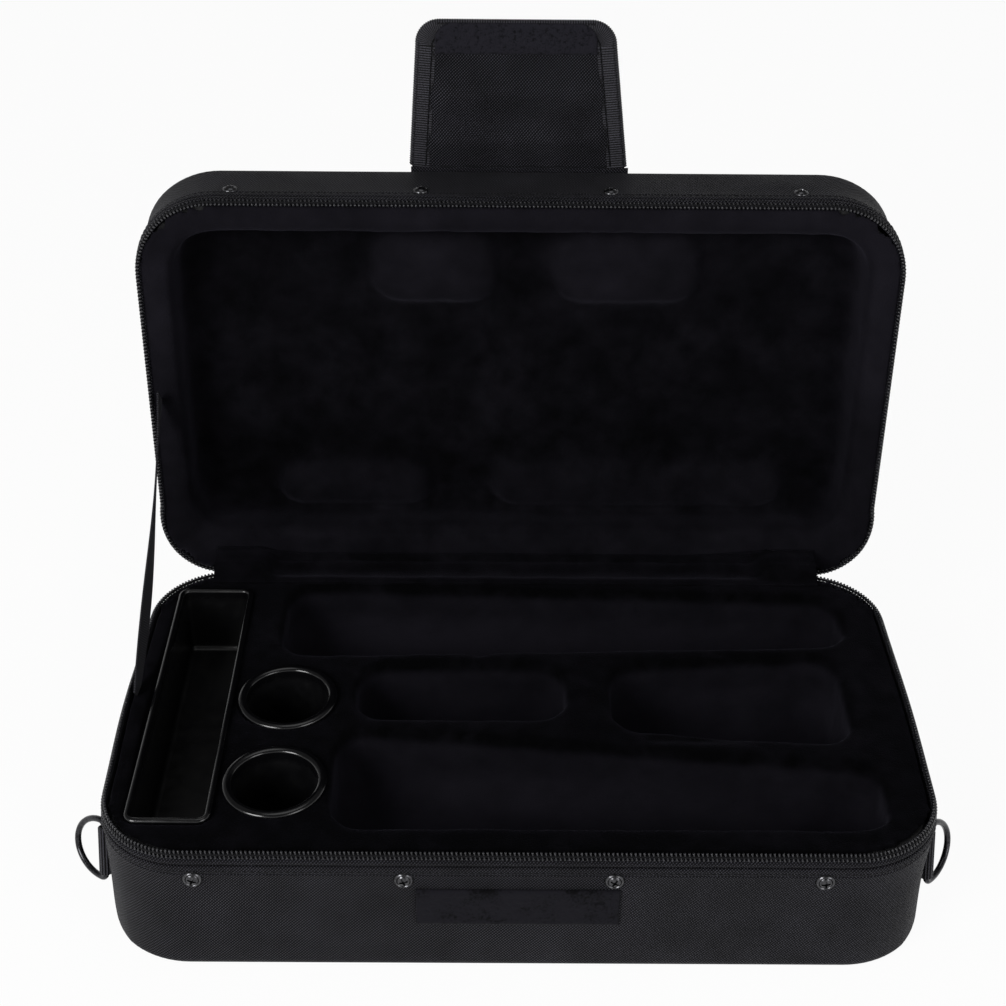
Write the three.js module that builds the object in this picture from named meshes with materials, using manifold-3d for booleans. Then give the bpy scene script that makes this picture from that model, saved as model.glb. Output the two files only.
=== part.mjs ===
// A soft-shell clarinet case, shown open: a padded base with fitted wells, a lid on a cloth hinge,
// a coil zip round the rim and a stiffened closing flap with hook-and-loop.
// Millimetres, +Z up, the front towards -Y. The origin is the centre of the base's underside.
import * as THREE from "three";
import { mergeVertices } from "three/addons/utils/BufferGeometryUtils.js";
import Module from "manifold-3d";

const wasm = await Module();
wasm.setup();

// The whole case
const caseLength = 376;
const caseWidth = 212;
const cornerRadius = 40;
const baseHeight = 68.5;
const lidHeight = 39.5;
const edgeRadius = 5;
const lidOpening = 92;
const hingeDrop = 9.5;
const hingeStandoff = 1;

// Layers of each half, from the outside in
const clothThickness = 1.5;
const coreWall = 4.8;
const coreDrop = 1.1;
const coreFloor = 5;
const fit = 0.3;
const overrun = 5;

// Zip
const closingGap = 0.6;
const coilThickness = 2.2;
const coilWidth = 6.5;
const coilRise = 2.5;
const toothDepth = 2;
const toothPitch = 5.85;
const tapeThickness = 0.8;
const tapeShown = 5;
const tapeDepth = 9.7;
const sliderLength = 11;
const sliderHeight = 10;
const sliderPlate = 1.4;
const sliderPost = 1.6;
const bailWidth = 2.4;
const bailHeight = 7;
const bailReach = 3.8;
const bailWall = 1.4;
const pullWidth = 8;
const pullLength = 27;
const pullThickness = 1.4;
const pullEye = 6.4;

// Screws in cup washers along the front of each half, and the wooden rails that they bite into
const screwEndMargin = 49;
const screwCount = 4;
const baseScrewShift = -4;
const lidScrewShift = -2;
const screwDrop = 15.5;
const screwHeadRadius = 3;
const screwHeadHeight = 1.1;
const screwShankRadius = 1.7;
const screwShankLength = 6.6;
const screwRecessLength = 3.4;
const screwRecessWidth = 0.7;
const screwRecessDepth = 0.6;
const washerRadius = 4.2;
const washerHeight = 1.5;
const washerBore = 2.2;
const washerSeatRadius = 3.2;
const railHeight = 12;
const railThickness = 3.8;
const railOverhang = 5;

// Padding of the base
const lipRise = 2.2;
const lipInset = 3.4;
const lipRound = 2;
const pocketCorner = 15;
const pocketLip = 3;
const pocketDepth = 38;
const bellDepth = 44;
const pocketFloorRound = 12;
const rearPocketWidth = 48;
const rearPocketFlare = -0.4;
const rearPocketGap = 18.5;
const rearPocketEndMargin = 23.5;
const rearPocketMargin = 17;
const middlePocketLength = 101;
const middlePocketWidth = 40;
const middlePocketGap = 9.5;
const middlePocketRidge = 13;
const bellWidth = 56;
const bellFlare = 0.36;
const bellGap = 22.5;
const bellEndMargin = 32;
const bellRidge = 9;
const frontPocketWidth = 52;
const frontPocketFlare = -0.5;
const frontPocketSkew = -0.05;
const frontPocketGap = 2;
const frontPocketEndMargin = 23;
const frontPocketMargin = 20;

// Accessory tray and mouthpiece cups
const trayWidth = 39;
const trayMargin = 12;
const trayFrontMargin = 19;
const trayRearMargin = 18;
const trayDepth = 37;
const trayCorner = 6;
const mouldedWall = 1.6;
const rimRoll = 2.2;
const trayOverhang = 1.4;
const cupOverhang = 2.8;
const cupRadius = 24;
const cupDepth = 42;
const cupTrayGap = 2;
const frontCupMargin = 22.5;
const cupSpacing = 60;

// Padding of the lid
const lidBorder = 18;
const lidRearBorder = 26;
const recessCorner = 22;
const recessRound = 6;
const lidPad = 6;
const bumpHeight = 8;
const bumpCorner = 15;
const frontBumpWidth = 42;
const rearBumpWidth = 31;
const frontBumpMargin = 3;
const rearBumpMargin = 2.5;
const bumpLengthShares = { frontRight: 0.194, frontLeft: 0.224, rearRight: 0.25, rearLeft: 0.471 };
const bumpPlaceShares = { frontRight: 0.126, frontLeft: -0.159, rearRight: 0.253, rearLeft: -0.191 };

// Closing flap with its handle
const flapRootWidth = 108;
const flapEndWidth = 97;
const flapLength = 73;
const flapCorner = 12;
const flapCloth = 0.8;
const flapBoard = 1;
const layerGap = 0.2;
const bindingWidth = 10;
const bindingThickness = 0.7;
const flapAxisStandoff = 3.5;
const flapFoldGap = 0.4;
const flapRootLength = 25;
const flapRootThickness = 1.2;
const hookLength = 76;
const hookWidth = 14;
const hookMargin = 4;
const hookThickness = 1.2;
const loopLength = 90;
const loopWidth = 25;
const loopThickness = 1.8;
const loopDrop = 17.5;
const handleLength = 76;
const handleSewn = 11;
const handleWidth = 22;
const handleThickness = 2;
const handleRise = 24;
const handlePlace = 38;
const gripLength = 36;
const gripThickness = 2.5;

// Strap rings and their webbing tabs
const ringWire = 1.6;
const ringOpening = 25;
const ringDepth = 20.6;
const ringCorner = 3;
const ringMargin = 42;
const ringDrop = 39.5;
const ringTilt = 22;
const leftRingTurn = 40;
const rightRingTurn = 50;
const webbingThickness = 1.3;
const webbingWidth = 23;
const webbingTail = 24;
const webbingPinch = 8;

// Cloth hinge and stay strap
const hingeCloth = 1.2;
const hingeLap = 9;
const hingeBend = 5;
const plushHinge = 1.5;
const plushHingeLap = 6;
const plushHingeSag = 2.5;
const stayWidth = 12;
const stayThickness = 1;
const stayPlace = 104;
const stayInset = 6.2;

// Steps of the curves
const cornerSteps = 6;
const edgeSteps = 3;
const roundSteps = 24;
const screwSteps = 10;
const wireSides = 8;
const ringSteps = 28;
const bendSteps = 10;
const handleSteps = 24;

const halfTurn = 180;
const radians = (degrees) => (degrees * Math.PI) / halfTurn;
const quarter = Math.PI / 2;

// Materials, with the colours of the cloth, plush and moulded pieces
function finish(color, roughness, metalness = 0) {
  return new THREE.MeshStandardMaterial({ color, roughness, metalness });
}
const nylon = finish(0x17171b, 0.85);
const webbing = finish(0x121215, 0.8);
const plush = finish(0x0c0c12, 1);
const foam = finish(0x3a3a3e, 0.95);
const wood = finish(0xb9905a, 0.7);
const moulded = finish(0x0d0e10, 0.3);
const blackMetal = finish(0x15161a, 0.35, 0.8);
const zipPolymer = finish(0x1c1d21, 0.45);
const board = finish(0x55534e, 0.9);

// Solids

function solidOf(geometry) {
  const bare = new THREE.BufferGeometry();
  const source = geometry.index ? geometry.toNonIndexed() : geometry;
  bare.setAttribute("position", source.getAttribute("position"));
  const merged = mergeVertices(bare, 1e-4);
  return new wasm.Manifold(
    new wasm.Mesh({
      numProp: 3,
      vertProperties: merged.attributes.position.array,
      triVerts: new Uint32Array(merged.index.array),
    }),
  );
}

function geometryOf(solid) {
  const mesh = solid.getMesh();
  const stride = mesh.numProp;
  const positions = new Float32Array(mesh.numVert * 3);
  for (let i = 0; i < mesh.numVert; i++) {
    positions.set(mesh.vertProperties.subarray(i * stride, i * stride + 3), i * 3);
  }
  const indexed = new THREE.BufferGeometry();
  indexed.setAttribute("position", new THREE.BufferAttribute(positions, 3));
  indexed.setIndex(new THREE.BufferAttribute(mesh.triVerts, 1));
  const geometry = indexed.toNonIndexed();
  geometry.computeVertexNormals();
  return geometry;
}

function cut(geometry, ...tools) {
  const rest = tools.reduce((solid, tool) => solid.subtract(solidOf(tool)), solidOf(geometry));
  return geometryOf(rest);
}

function join(geometry, ...others) {
  const whole = others.reduce((solid, other) => solid.add(solidOf(other)), solidOf(geometry));
  return geometryOf(whole);
}

// A closed skin over rings of points. The first and last ring are closed by flat caps,
// unless the rings go round to the first again.
function skin(rings, outline, goesRound = false) {
  const count = rings[0].length;
  const faces = [];
  const bands = goesRound ? rings.length : rings.length - 1;
  for (let band = 0; band < bands; band++) {
    const low = band * count;
    const high = ((band + 1) % rings.length) * count;
    for (let i = 0; i < count; i++) {
      const j = (i + 1) % count;
      faces.push(low + i, low + j, high + j, low + i, high + j, high + i);
    }
  }
  if (!goesRound) {
    const last = (rings.length - 1) * count;
    for (const [a, b, c] of THREE.ShapeUtils.triangulateShape(outline, [])) {
      faces.push(a, c, b, last + a, last + b, last + c);
    }
  }
  const geometry = new THREE.BufferGeometry().setFromPoints(rings.flat());
  geometry.setIndex(faces);
  return geometry;
}

// A plan is a rounded rectangle seen from above. Its width may flare along X, and its middle line lean.
function plan(length, width, radius, x = 0, y = 0, flare = 0, skew = 0) {
  return { length, width, radius, x, y, flare, skew };
}

function inset(shape, by) {
  const length = shape.length - 2 * by;
  const width = shape.width - 2 * by;
  const radius = Math.max(shape.radius - by, fit);
  return { ...shape, length, width, radius };
}

function planRing(shape, z) {
  const x = shape.length / 2 - shape.radius;
  const y = shape.width / 2 - shape.radius;
  const points = [];
  for (const [sideX, sideY, start] of [[1, 1, 0], [-1, 1, 1], [-1, -1, 2], [1, -1, 3]]) {
    for (let step = 0; step <= cornerSteps; step++) {
      const angle = (start + step / cornerSteps) * quarter;
      const along = sideX * x + shape.radius * Math.cos(angle);
      const across = sideY * y + shape.radius * Math.sin(angle);
      const spread = 1 + (shape.flare * along) / shape.length;
      points.push(
        new THREE.Vector3(shape.x + along, shape.y + shape.skew * along + across * spread, z),
      );
    }
  }
  return points;
}

// A solid through plans at rising heights: sections are [plan, z]
function loft(sections) {
  const rings = sections.map(([shape, z]) => planRing(shape, z));
  return skin(rings, rings[0].map((p) => new THREE.Vector2(p.x, p.y)));
}

// Sections of an edge rounded over, from the flat face at z inwards by the radius
function roundedFoot(shape, radius, z) {
  return Array.from({ length: edgeSteps + 1 }, (_, step) => {
    const angle = (step / edgeSteps) * quarter;
    return [inset(shape, radius * (1 - Math.sin(angle))), z + radius * (1 - Math.cos(angle))];
  });
}

function roundedHead(shape, radius, z) {
  return roundedFoot(shape, radius, 0)
    .map(([section, rise]) => [section, z - rise])
    .reverse();
}

function box(low, high) {
  const size = new THREE.Vector3().subVectors(high, low);
  const middle = new THREE.Vector3().addVectors(low, high).multiplyScalar(1 / 2);
  return new THREE.BoxGeometry(size.x, size.y, size.z).translate(middle.x, middle.y, middle.z);
}

// A flat outline in the plane of two axes, thickened along the third
function slab(shape, depth, along) {
  const geometry = new THREE.ExtrudeGeometry(shape, {
    depth,
    bevelEnabled: false,
    curveSegments: cornerSteps,
  });
  geometry.translate(0, 0, -depth / 2);
  if (along === "x") {
    geometry.applyMatrix4(new THREE.Matrix4().set(0, 0, 1, 0, 1, 0, 0, 0, 0, 1, 0, 0, 0, 0, 0, 1));
  }
  return geometry;
}

// The outline of a ribbon of even thickness along a smooth line of points
function ribbon(points, thickness, steps = bendSteps) {
  const line = new THREE.SplineCurve(points.map(([a, b]) => new THREE.Vector2(a, b)));
  const sides = [1, -1].map((side) =>
    Array.from({ length: steps + 1 }, (_, step) => {
      const at = line.getPointAt(step / steps);
      const along = line.getTangentAt(step / steps);
      const half = (side * thickness) / 2;
      return new THREE.Vector2(at.x - along.y * half, at.y + along.x * half);
    }),
  );
  return new THREE.Shape([...sides[1], ...sides[0].reverse()]);
}

// The two halves are built alike, each lying on its back with its flat panel at z = 0
const casePlan = plan(caseLength, caseWidth, cornerRadius);
const baseHalf = { height: baseHeight, screwShift: baseScrewShift };
const lidHalf = { height: lidHeight, screwShift: -lidScrewShift };

const coilTop = (half) => half.height - closingGap / 2;
const coilFoot = (half) => coilTop(half) - coilWidth;
const tapeTop = (half) => coilTop(half) - coilRise;
const coverTop = (half) => tapeTop(half) - tapeShown;
const coreTop = (half) => tapeTop(half) - coreDrop;
const screwZ = (half) => half.height - screwDrop;
const lipTop = (half) => coreTop(half) + lipRise;

const coreInset = clothThickness + fit;
const coreUpperInset = coreInset + tapeThickness + fit;
const cavityInset = coreUpperInset + coreWall;
const padInset = cavityInset + fit;
const padFoot = clothThickness + fit + coreFloor + fit;
const frontWall = -caseWidth / 2;
const rearWall = caseWidth / 2;

function screwPlaces(half) {
  const reach = caseLength - 2 * screwEndMargin;
  const spacing = reach / (screwCount - 1);
  return Array.from({ length: screwCount }, (_, i) => half.screwShift - reach / 2 + i * spacing);
}

function boreAcrossFront(radius, x, z) {
  const length = 2 * (cavityInset + overrun);
  return new THREE.CylinderGeometry(radius, radius, length, screwSteps).translate(x, frontWall, z);
}

// Cloth panel of the flat side, inside the rounded edge
function flatPanel() {
  const shape = inset(casePlan, edgeRadius + fit);
  return loft([[shape, 0], [shape, clothThickness]]);
}

// Cloth gusset: the walls and the rounded edge
function sideCover(half) {
  const inner = inset(casePlan, clothThickness);
  const outside = loft([...roundedFoot(casePlan, edgeRadius, 0), [casePlan, coverTop(half)]]);
  const hollow = roundedFoot(inner, edgeRadius - clothThickness, clothThickness);
  const inside = loft([
    [hollow[0][0], -overrun],
    ...hollow,
    [inner, coverTop(half) + overrun],
  ]);
  const holes = screwPlaces(half).map((x) => boreAcrossFront(screwShankRadius + fit, x, screwZ(half)));
  return cut(outside, inside, ...holes);
}

function railEnds(half) {
  const places = screwPlaces(half);
  return [places[0] - railOverhang, places[screwCount - 1] + railOverhang];
}

function railBox(half, clearance) {
  const [left, right] = railEnds(half);
  const outer = frontWall + coreUpperInset;
  const z = screwZ(half);
  return box(
    new THREE.Vector3(left - clearance, outer - clearance * overrun, z - railHeight / 2 - clearance),
    new THREE.Vector3(
      right + clearance,
      outer + railThickness + clearance,
      z + railHeight / 2 + clearance,
    ),
  );
}

function frontRail(half) {
  const holes = screwPlaces(half).map((x) => boreAcrossFront(screwShankRadius + fit, x, screwZ(half)));
  return cut(railBox(half, 0), ...holes);
}

// Stiff foam tub behind the cloth, stepped in where the zip tape lies
function core(half) {
  const tapeFoot = tapeTop(half) - tapeDepth - fit;
  const lower = inset(casePlan, coreInset);
  const upper = inset(casePlan, coreUpperInset);
  const outside = loft([
    ...roundedFoot(lower, edgeRadius - coreInset, coreInset),
    [lower, tapeFoot],
    [upper, tapeFoot],
    [upper, coreTop(half)],
  ]);
  const cavity = inset(casePlan, cavityInset);
  const inside = loft([
    ...roundedFoot(cavity, fit, coreInset + coreFloor),
    [cavity, coreTop(half) + overrun],
  ]);
  return cut(outside, inside, railBox(half, fit));
}

// Padding block that fills the core and rolls over its top edge as a soft lip
function paddedBlock(half) {
  const body = inset(casePlan, padInset);
  const lip = inset(casePlan, lipInset);
  return [
    [body, padFoot],
    [body, coreTop(half) + fit],
    [lip, coreTop(half) + fit],
    ...roundedHead(lip, lipRound, lipTop(half)),
  ];
}

// The rim's open run: round both rear corners, the sides and the front, clockwise from above
function rimPath(shape) {
  const x = shape.length / 2 - shape.radius;
  const y = shape.width / 2 - shape.radius;
  const path = new THREE.Path();
  path.absarc(x, y, shape.radius, quarter, 0, true);
  path.absarc(x, -y, shape.radius, 0, -quarter, true);
  path.absarc(-x, -y, shape.radius, -quarter, -2 * quarter, true);
  path.absarc(-x, y, shape.radius, 2 * quarter, quarter, true);
  return path;
}

function outward(shape, point) {
  const x = shape.length / 2 - shape.radius;
  const y = shape.width / 2 - shape.radius;
  const core = new THREE.Vector2(
    THREE.MathUtils.clamp(point.x, -x, x),
    THREE.MathUtils.clamp(point.y, -y, y),
  );
  return new THREE.Vector2().subVectors(point, core).normalize();
}

function bendPoints(path) {
  const points = [];
  for (const curve of path.curves) {
    for (const point of curve.getPoints(curve.isLineCurve ? 1 : cornerSteps)) {
      if (!points.length || points.at(-1).distanceTo(point) > fit) points.push(point);
    }
  }
  return points;
}

// A strip that stands along the rim's open run. Its free edge can be notched between the steps.
function rimStrip(path, shape, thickness, foot, tops) {
  const section = (top) => [[0, foot], [0, top], [-thickness, top], [-thickness, foot]];
  const rings = path.map((point, i) => {
    const out = outward(shape, point);
    return section(tops[i % tops.length]).map(
      ([away, up]) => new THREE.Vector3(point.x + out.x * away, point.y + out.y * away, up),
    );
  });
  return skin(rings, section(tops[0]).map(([away, up]) => new THREE.Vector2(away, up)));
}

// Zip tape: a strip on the core, half behind the cloth
function zipTape(half) {
  const shape = inset(casePlan, coreInset);
  const top = tapeTop(half);
  return rimStrip(bendPoints(rimPath(shape)), shape, tapeThickness, top - tapeDepth, [top]);
}

// Zip coil: it stands upright on the outside of the tape, and its free edge is cut into teeth
function zipCoil(half) {
  const shape = inset(casePlan, coreInset - fit - coilThickness);
  const path = rimPath(shape);
  const teeth = Math.round(path.getLength() / toothPitch);
  const tops = [coilTop(half) - toothDepth, coilTop(half)];
  return rimStrip(path.getSpacedPoints(2 * teeth), shape, coilThickness, coilFoot(half), tops);
}

// Pan screw with a crossed recess, its axis along +Y into the wall
function screw() {
  const seat = -washerHeight;
  const outline = [
    [0, screwShankLength],
    [screwShankRadius, screwShankLength],
    [screwShankRadius, seat],
    [screwHeadRadius, seat],
    [screwHeadRadius * Math.cos(quarter / 2), seat - screwHeadHeight * Math.sin(quarter / 2)],
    [0, seat - screwHeadHeight],
  ].map(([radius, along]) => new THREE.Vector2(radius, along));
  const turned = new THREE.LatheGeometry(outline.reverse(), screwSteps);
  const top = seat - screwHeadHeight;
  const slots = [0, quarter].map((turn) =>
    new THREE.BoxGeometry(screwRecessLength, 2 * screwRecessDepth, screwRecessWidth)
      .rotateY(turn)
      .translate(0, top, 0),
  );
  return cut(turned, ...slots);
}

// Cup washer round the screw's head
function washer() {
  const outline = [
    [washerBore, -fit],
    [washerRadius, -fit],
    [washerRadius, -fit - washerHeight / 3],
    [washerSeatRadius + fit, -washerHeight - fit],
    [washerSeatRadius + fit / 2, -washerHeight],
    [washerBore, -washerHeight / 2],
    [washerBore, -fit],
  ].map(([radius, along]) => new THREE.Vector2(radius, along));
  return new THREE.LatheGeometry(outline.reverse(), screwSteps);
}

// Fitted padding of the base. The wells are placed from the case's sides and from each other.
const fieldZ = lipTop(baseHalf);
const leftWall = -caseLength / 2;
const rightWall = caseLength / 2;
const trayRight = leftWall + trayMargin + trayWidth;
const cupX = trayRight + cupTrayGap + cupRadius;
const frontCupY = frontWall + frontCupMargin + cupRadius;
const rearCupY = frontCupY + cupSpacing;
const cupsRight = cupX + cupRadius;
const rearPocketFront = rearWall - rearPocketMargin - rearPocketWidth;
const middlePocketLeft = cupsRight + middlePocketGap;
const bellLeft = middlePocketLeft + middlePocketLength + bellGap;

function span(low, high) {
  return [high - low, (low + high) / 2];
}

function pocketSizes(lowX, highX, lowY, width, flare, skew) {
  const [length, x] = span(lowX, highX);
  return [length, width, x, lowY + width / 2, flare, skew];
}

const pockets = {
  rear: pocketSizes(
    trayRight + rearPocketGap,
    rightWall - rearPocketEndMargin,
    rearPocketFront,
    rearPocketWidth,
    rearPocketFlare,
    0,
  ),
  middle: pocketSizes(
    middlePocketLeft,
    middlePocketLeft + middlePocketLength,
    rearPocketFront - middlePocketRidge - middlePocketWidth,
    middlePocketWidth,
    0,
    0,
  ),
  bell: pocketSizes(
    bellLeft,
    rightWall - bellEndMargin,
    rearPocketFront - bellRidge - bellWidth,
    bellWidth,
    bellFlare,
    0,
  ),
  front: pocketSizes(
    cupsRight + frontPocketGap,
    rightWall - frontPocketEndMargin,
    frontWall + frontPocketMargin,
    frontPocketWidth,
    frontPocketFlare,
    frontPocketSkew,
  ),
};

function pocket([length, width, x, y, flare, skew], depth) {
  const shape = plan(length, width, pocketCorner, x, y, flare, skew);
  const wide = inset(shape, -pocketLip);
  const lip = Array.from({ length: edgeSteps + 1 }, (_, step) => {
    const angle = (step / edgeSteps) * quarter;
    const grow = pocketLip * (1 - Math.cos(angle));
    return [inset(shape, -grow), fieldZ - pocketLip * (1 - Math.sin(angle))];
  });
  return loft([
    ...roundedFoot(shape, pocketFloorRound, fieldZ - depth),
    ...lip,
    [wide, fieldZ + overrun],
  ]);
}

const trayPlan = plan(
  trayWidth,
  caseWidth - trayFrontMargin - trayRearMargin,
  trayCorner,
  trayRight - trayWidth / 2,
  (trayFrontMargin - trayRearMargin) / 2,
);

function trayWell() {
  const shape = inset(trayPlan, trayOverhang - fit);
  return loft([[shape, fieldZ - trayDepth - fit], [shape, fieldZ + overrun]]);
}

function cupWell(y) {
  const radius = cupRadius - cupOverhang + fit;
  const height = cupDepth + overrun;
  return new THREE.CylinderGeometry(radius, radius, height, roundSteps)
    .rotateX(quarter)
    .translate(cupX, y, fieldZ - cupDepth - fit + height / 2);
}

function baseInsert() {
  const hollows = Object.entries(pockets).map(([name, sizes]) =>
    pocket(sizes, name === "bell" ? bellDepth : pocketDepth),
  );
  const wells = [trayWell(), cupWell(rearCupY), cupWell(frontCupY)];
  return cut(loft(paddedBlock(baseHalf)), ...hollows, ...wells);
}

// Moulded tray with a rolled rim that rests on the padding
function accessoryTray() {
  const body = inset(trayPlan, trayOverhang);
  const seat = fieldZ + fit;
  const outside = loft([
    ...roundedFoot(body, mouldedWall, fieldZ - trayDepth),
    [body, seat],
    [trayPlan, seat],
    ...roundedHead(trayPlan, rimRoll / 2, seat + rimRoll),
  ]);
  const hollow = inset(body, mouldedWall);
  const inside = loft([
    ...roundedFoot(hollow, mouldedWall, fieldZ - trayDepth + mouldedWall),
    [hollow, seat + rimRoll / 2],
    [inset(hollow, -mouldedWall / 2), seat + rimRoll],
    [inset(hollow, -mouldedWall / 2), seat + overrun],
  ]);
  return cut(outside, inside);
}

// Moulded cup with a rolled rim, turned
function mouthpieceCup(y) {
  const outer = cupRadius - cupOverhang;
  const inner = outer - mouldedWall;
  const foot = fieldZ - cupDepth;
  const seat = fieldZ + fit;
  const rimMiddle = (cupRadius + inner) / 2;
  const rimHalf = (cupRadius - inner) / 2;
  const roll = Array.from({ length: edgeSteps * 2 + 1 }, (_, step) => {
    const angle = (step / (edgeSteps * 2)) * 2 * quarter;
    return [rimMiddle + rimHalf * Math.cos(angle), seat + (rimRoll / 2) * (1 + Math.sin(angle))];
  });
  const outline = [
    [0, foot],
    [outer - mouldedWall, foot],
    [outer, foot + mouldedWall],
    [outer, seat],
    [cupRadius, seat],
    ...roll,
    [inner, foot + 2 * mouldedWall],
    [inner - mouldedWall, foot + mouldedWall],
    [0, foot + mouldedWall],
  ].map(([radius, z]) => new THREE.Vector2(radius, z));
  return new THREE.LatheGeometry(outline, roundSteps).rotateX(quarter).translate(cupX, y, 0);
}

// Padded lining of the lid: a border round a recessed panel with raised pads.
// The lid lies on its back here, so its right and left are changed over.
const recessPlan = plan(
  caseLength - 2 * lidBorder,
  caseWidth - lidBorder - lidRearBorder,
  recessCorner,
  0,
  (lidBorder - lidRearBorder) / 2,
);
const recessFloor = padFoot + lidPad;
const bumpRows = {
  front: [frontBumpWidth, frontWall + lidBorder + frontBumpMargin + frontBumpWidth / 2],
  rear: [rearBumpWidth, rearWall - lidRearBorder - rearBumpMargin - rearBumpWidth / 2],
};
const bumps = Object.keys(bumpLengthShares).map((name) => {
  const [width, y] = name.startsWith("front") ? bumpRows.front : bumpRows.rear;
  const { length } = recessPlan;
  return [bumpLengthShares[name] * length, width, bumpPlaceShares[name] * length, y];
});

function bump([length, width, x, y]) {
  const shape = plan(length, width, bumpCorner, x, y);
  return loft([
    [shape, recessFloor - lidPad / 2],
    ...roundedHead(shape, bumpHeight, recessFloor + bumpHeight),
  ]);
}

function lidLining() {
  const top = lipTop(lidHalf);
  const edge = Array.from({ length: edgeSteps + 1 }, (_, step) => {
    const angle = (step / edgeSteps) * quarter;
    const grow = recessRound * (1 - Math.cos(angle));
    return [inset(recessPlan, -grow), top - recessRound + recessRound * Math.sin(angle)];
  });
  const recess = loft([
    ...roundedFoot(recessPlan, recessRound, recessFloor),
    ...edge,
    [inset(recessPlan, -recessRound), top + overrun],
  ]);
  return join(cut(loft(paddedBlock(lidHalf)), recess), ...bumps.map(bump));
}

// Closing flap, in the lid's frame: it lies flat in front of the lid's panel, its inner side up,
// and turns about the fold line
const foldY = frontWall - flapAxisStandoff;
const flapStart = foldY - flapFoldGap;
const flapEnd = foldY - flapLength;
const bindingInnerZ = -fit;
const innerClothTop = bindingInnerZ - bindingThickness - layerGap;
const boardTop = innerClothTop - flapCloth - layerGap;
const outerClothTop = boardTop - flapBoard - layerGap;
const outerClothFoot = outerClothTop - flapCloth;
const bindingOuterZ = outerClothFoot - layerGap - bindingThickness;

function flapOutline(margin) {
  const root = flapRootWidth / 2 - margin;
  const end = flapEndWidth / 2 - margin;
  const corner = Math.max(flapCorner - margin, fit);
  const tip = flapEnd + margin;
  const shape = new THREE.Shape();
  shape.moveTo(-root, flapStart);
  shape.lineTo(-end, tip + corner);
  shape.absarc(-end + corner, tip + corner, corner, 2 * quarter, 3 * quarter, false);
  shape.absarc(end - corner, tip + corner, corner, -quarter, 0, false);
  shape.lineTo(root, flapStart);
  return shape;
}

function flapLayer(top, thickness, margin) {
  return slab(flapOutline(margin), thickness).translate(0, 0, top - thickness / 2);
}

const bindingInset = bindingThickness + layerGap;

function flapBinding() {
  const thickness = bindingInnerZ - bindingOuterZ;
  const whole = flapLayer(bindingInnerZ, thickness, 0);
  const groove = flapLayer(innerClothTop + layerGap, innerClothTop - outerClothFoot + 2 * layerGap, bindingThickness);
  const window = slab(flapOutline(bindingWidth), thickness + overrun);
  const rootMouth = box(
    new THREE.Vector3(-flapRootWidth / 2 + bindingWidth, flapStart - overrun, bindingOuterZ - overrun),
    new THREE.Vector3(flapRootWidth / 2 - bindingWidth, flapStart + overrun, bindingInnerZ + overrun),
  );
  const grooveMouth = box(
    new THREE.Vector3(-flapRootWidth / 2 + bindingThickness, flapStart - overrun, outerClothFoot - layerGap),
    new THREE.Vector3(flapRootWidth / 2 - bindingThickness, flapStart + overrun, innerClothTop + layerGap),
  );
  return cut(whole, groove, window.translate(0, 0, bindingOuterZ + thickness / 2), rootMouth, grooveMouth);
}

function hookStrip() {
  const low = flapEnd + hookMargin;
  const foot = bindingInnerZ + layerGap;
  return box(
    new THREE.Vector3(-hookLength / 2, low, foot),
    new THREE.Vector3(hookLength / 2, low + hookWidth, foot + hookThickness),
  );
}

function flapRoot() {
  return box(
    new THREE.Vector3(-flapRootWidth / 2, foldY + flapFoldGap, -fit - flapRootThickness),
    new THREE.Vector3(flapRootWidth / 2, frontWall + flapRootLength, -fit),
  );
}

// Carrying handle: webbing sewn down at both ends, arched between, with a padded grip
const handleY = foldY - handlePlace;
const handleSeat = outerClothFoot - layerGap;

function handleStrap() {
  const middle = handleSeat - handleThickness / 2;
  const flat = handleLength / 2 - handleSewn;
  const line = Array.from({ length: handleSteps + 1 }, (_, step) => {
    const x = (step / handleSteps - 1 / 2) * handleLength;
    const share = (flat - Math.abs(x)) / (flat - gripLength / 2 - handleThickness);
    return [x, middle - handleRise * THREE.MathUtils.smoothstep(share, 0, 1)];
  });
  const outline = ribbon(line, handleThickness, handleSteps);
  return slab(outline, handleWidth).rotateX(quarter).translate(0, handleY, 0);
}

function handleGrip() {
  const z = handleSeat - handleThickness / 2 - handleRise;
  const around = (length, margin) =>
    box(
      new THREE.Vector3(-length / 2, handleY - handleWidth / 2 - margin, z - handleThickness / 2 - margin),
      new THREE.Vector3(length / 2, handleY + handleWidth / 2 + margin, z + handleThickness / 2 + margin),
    );
  return cut(around(gripLength, gripThickness), around(gripLength + overrun, fit));
}

// Loop strip on the base's front, where the hook strip lands
function loopPatch() {
  const top = coilFoot(baseHalf) - loopDrop;
  return box(
    new THREE.Vector3(-loopLength / 2, frontWall - fit - loopThickness, top - loopWidth),
    new THREE.Vector3(loopLength / 2, frontWall - fit, top),
  );
}

// Strap ring and tab, with the ring's bar through the origin along Z and the case wall on +X
const tabReach = ringWire + fit + webbingThickness;

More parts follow.
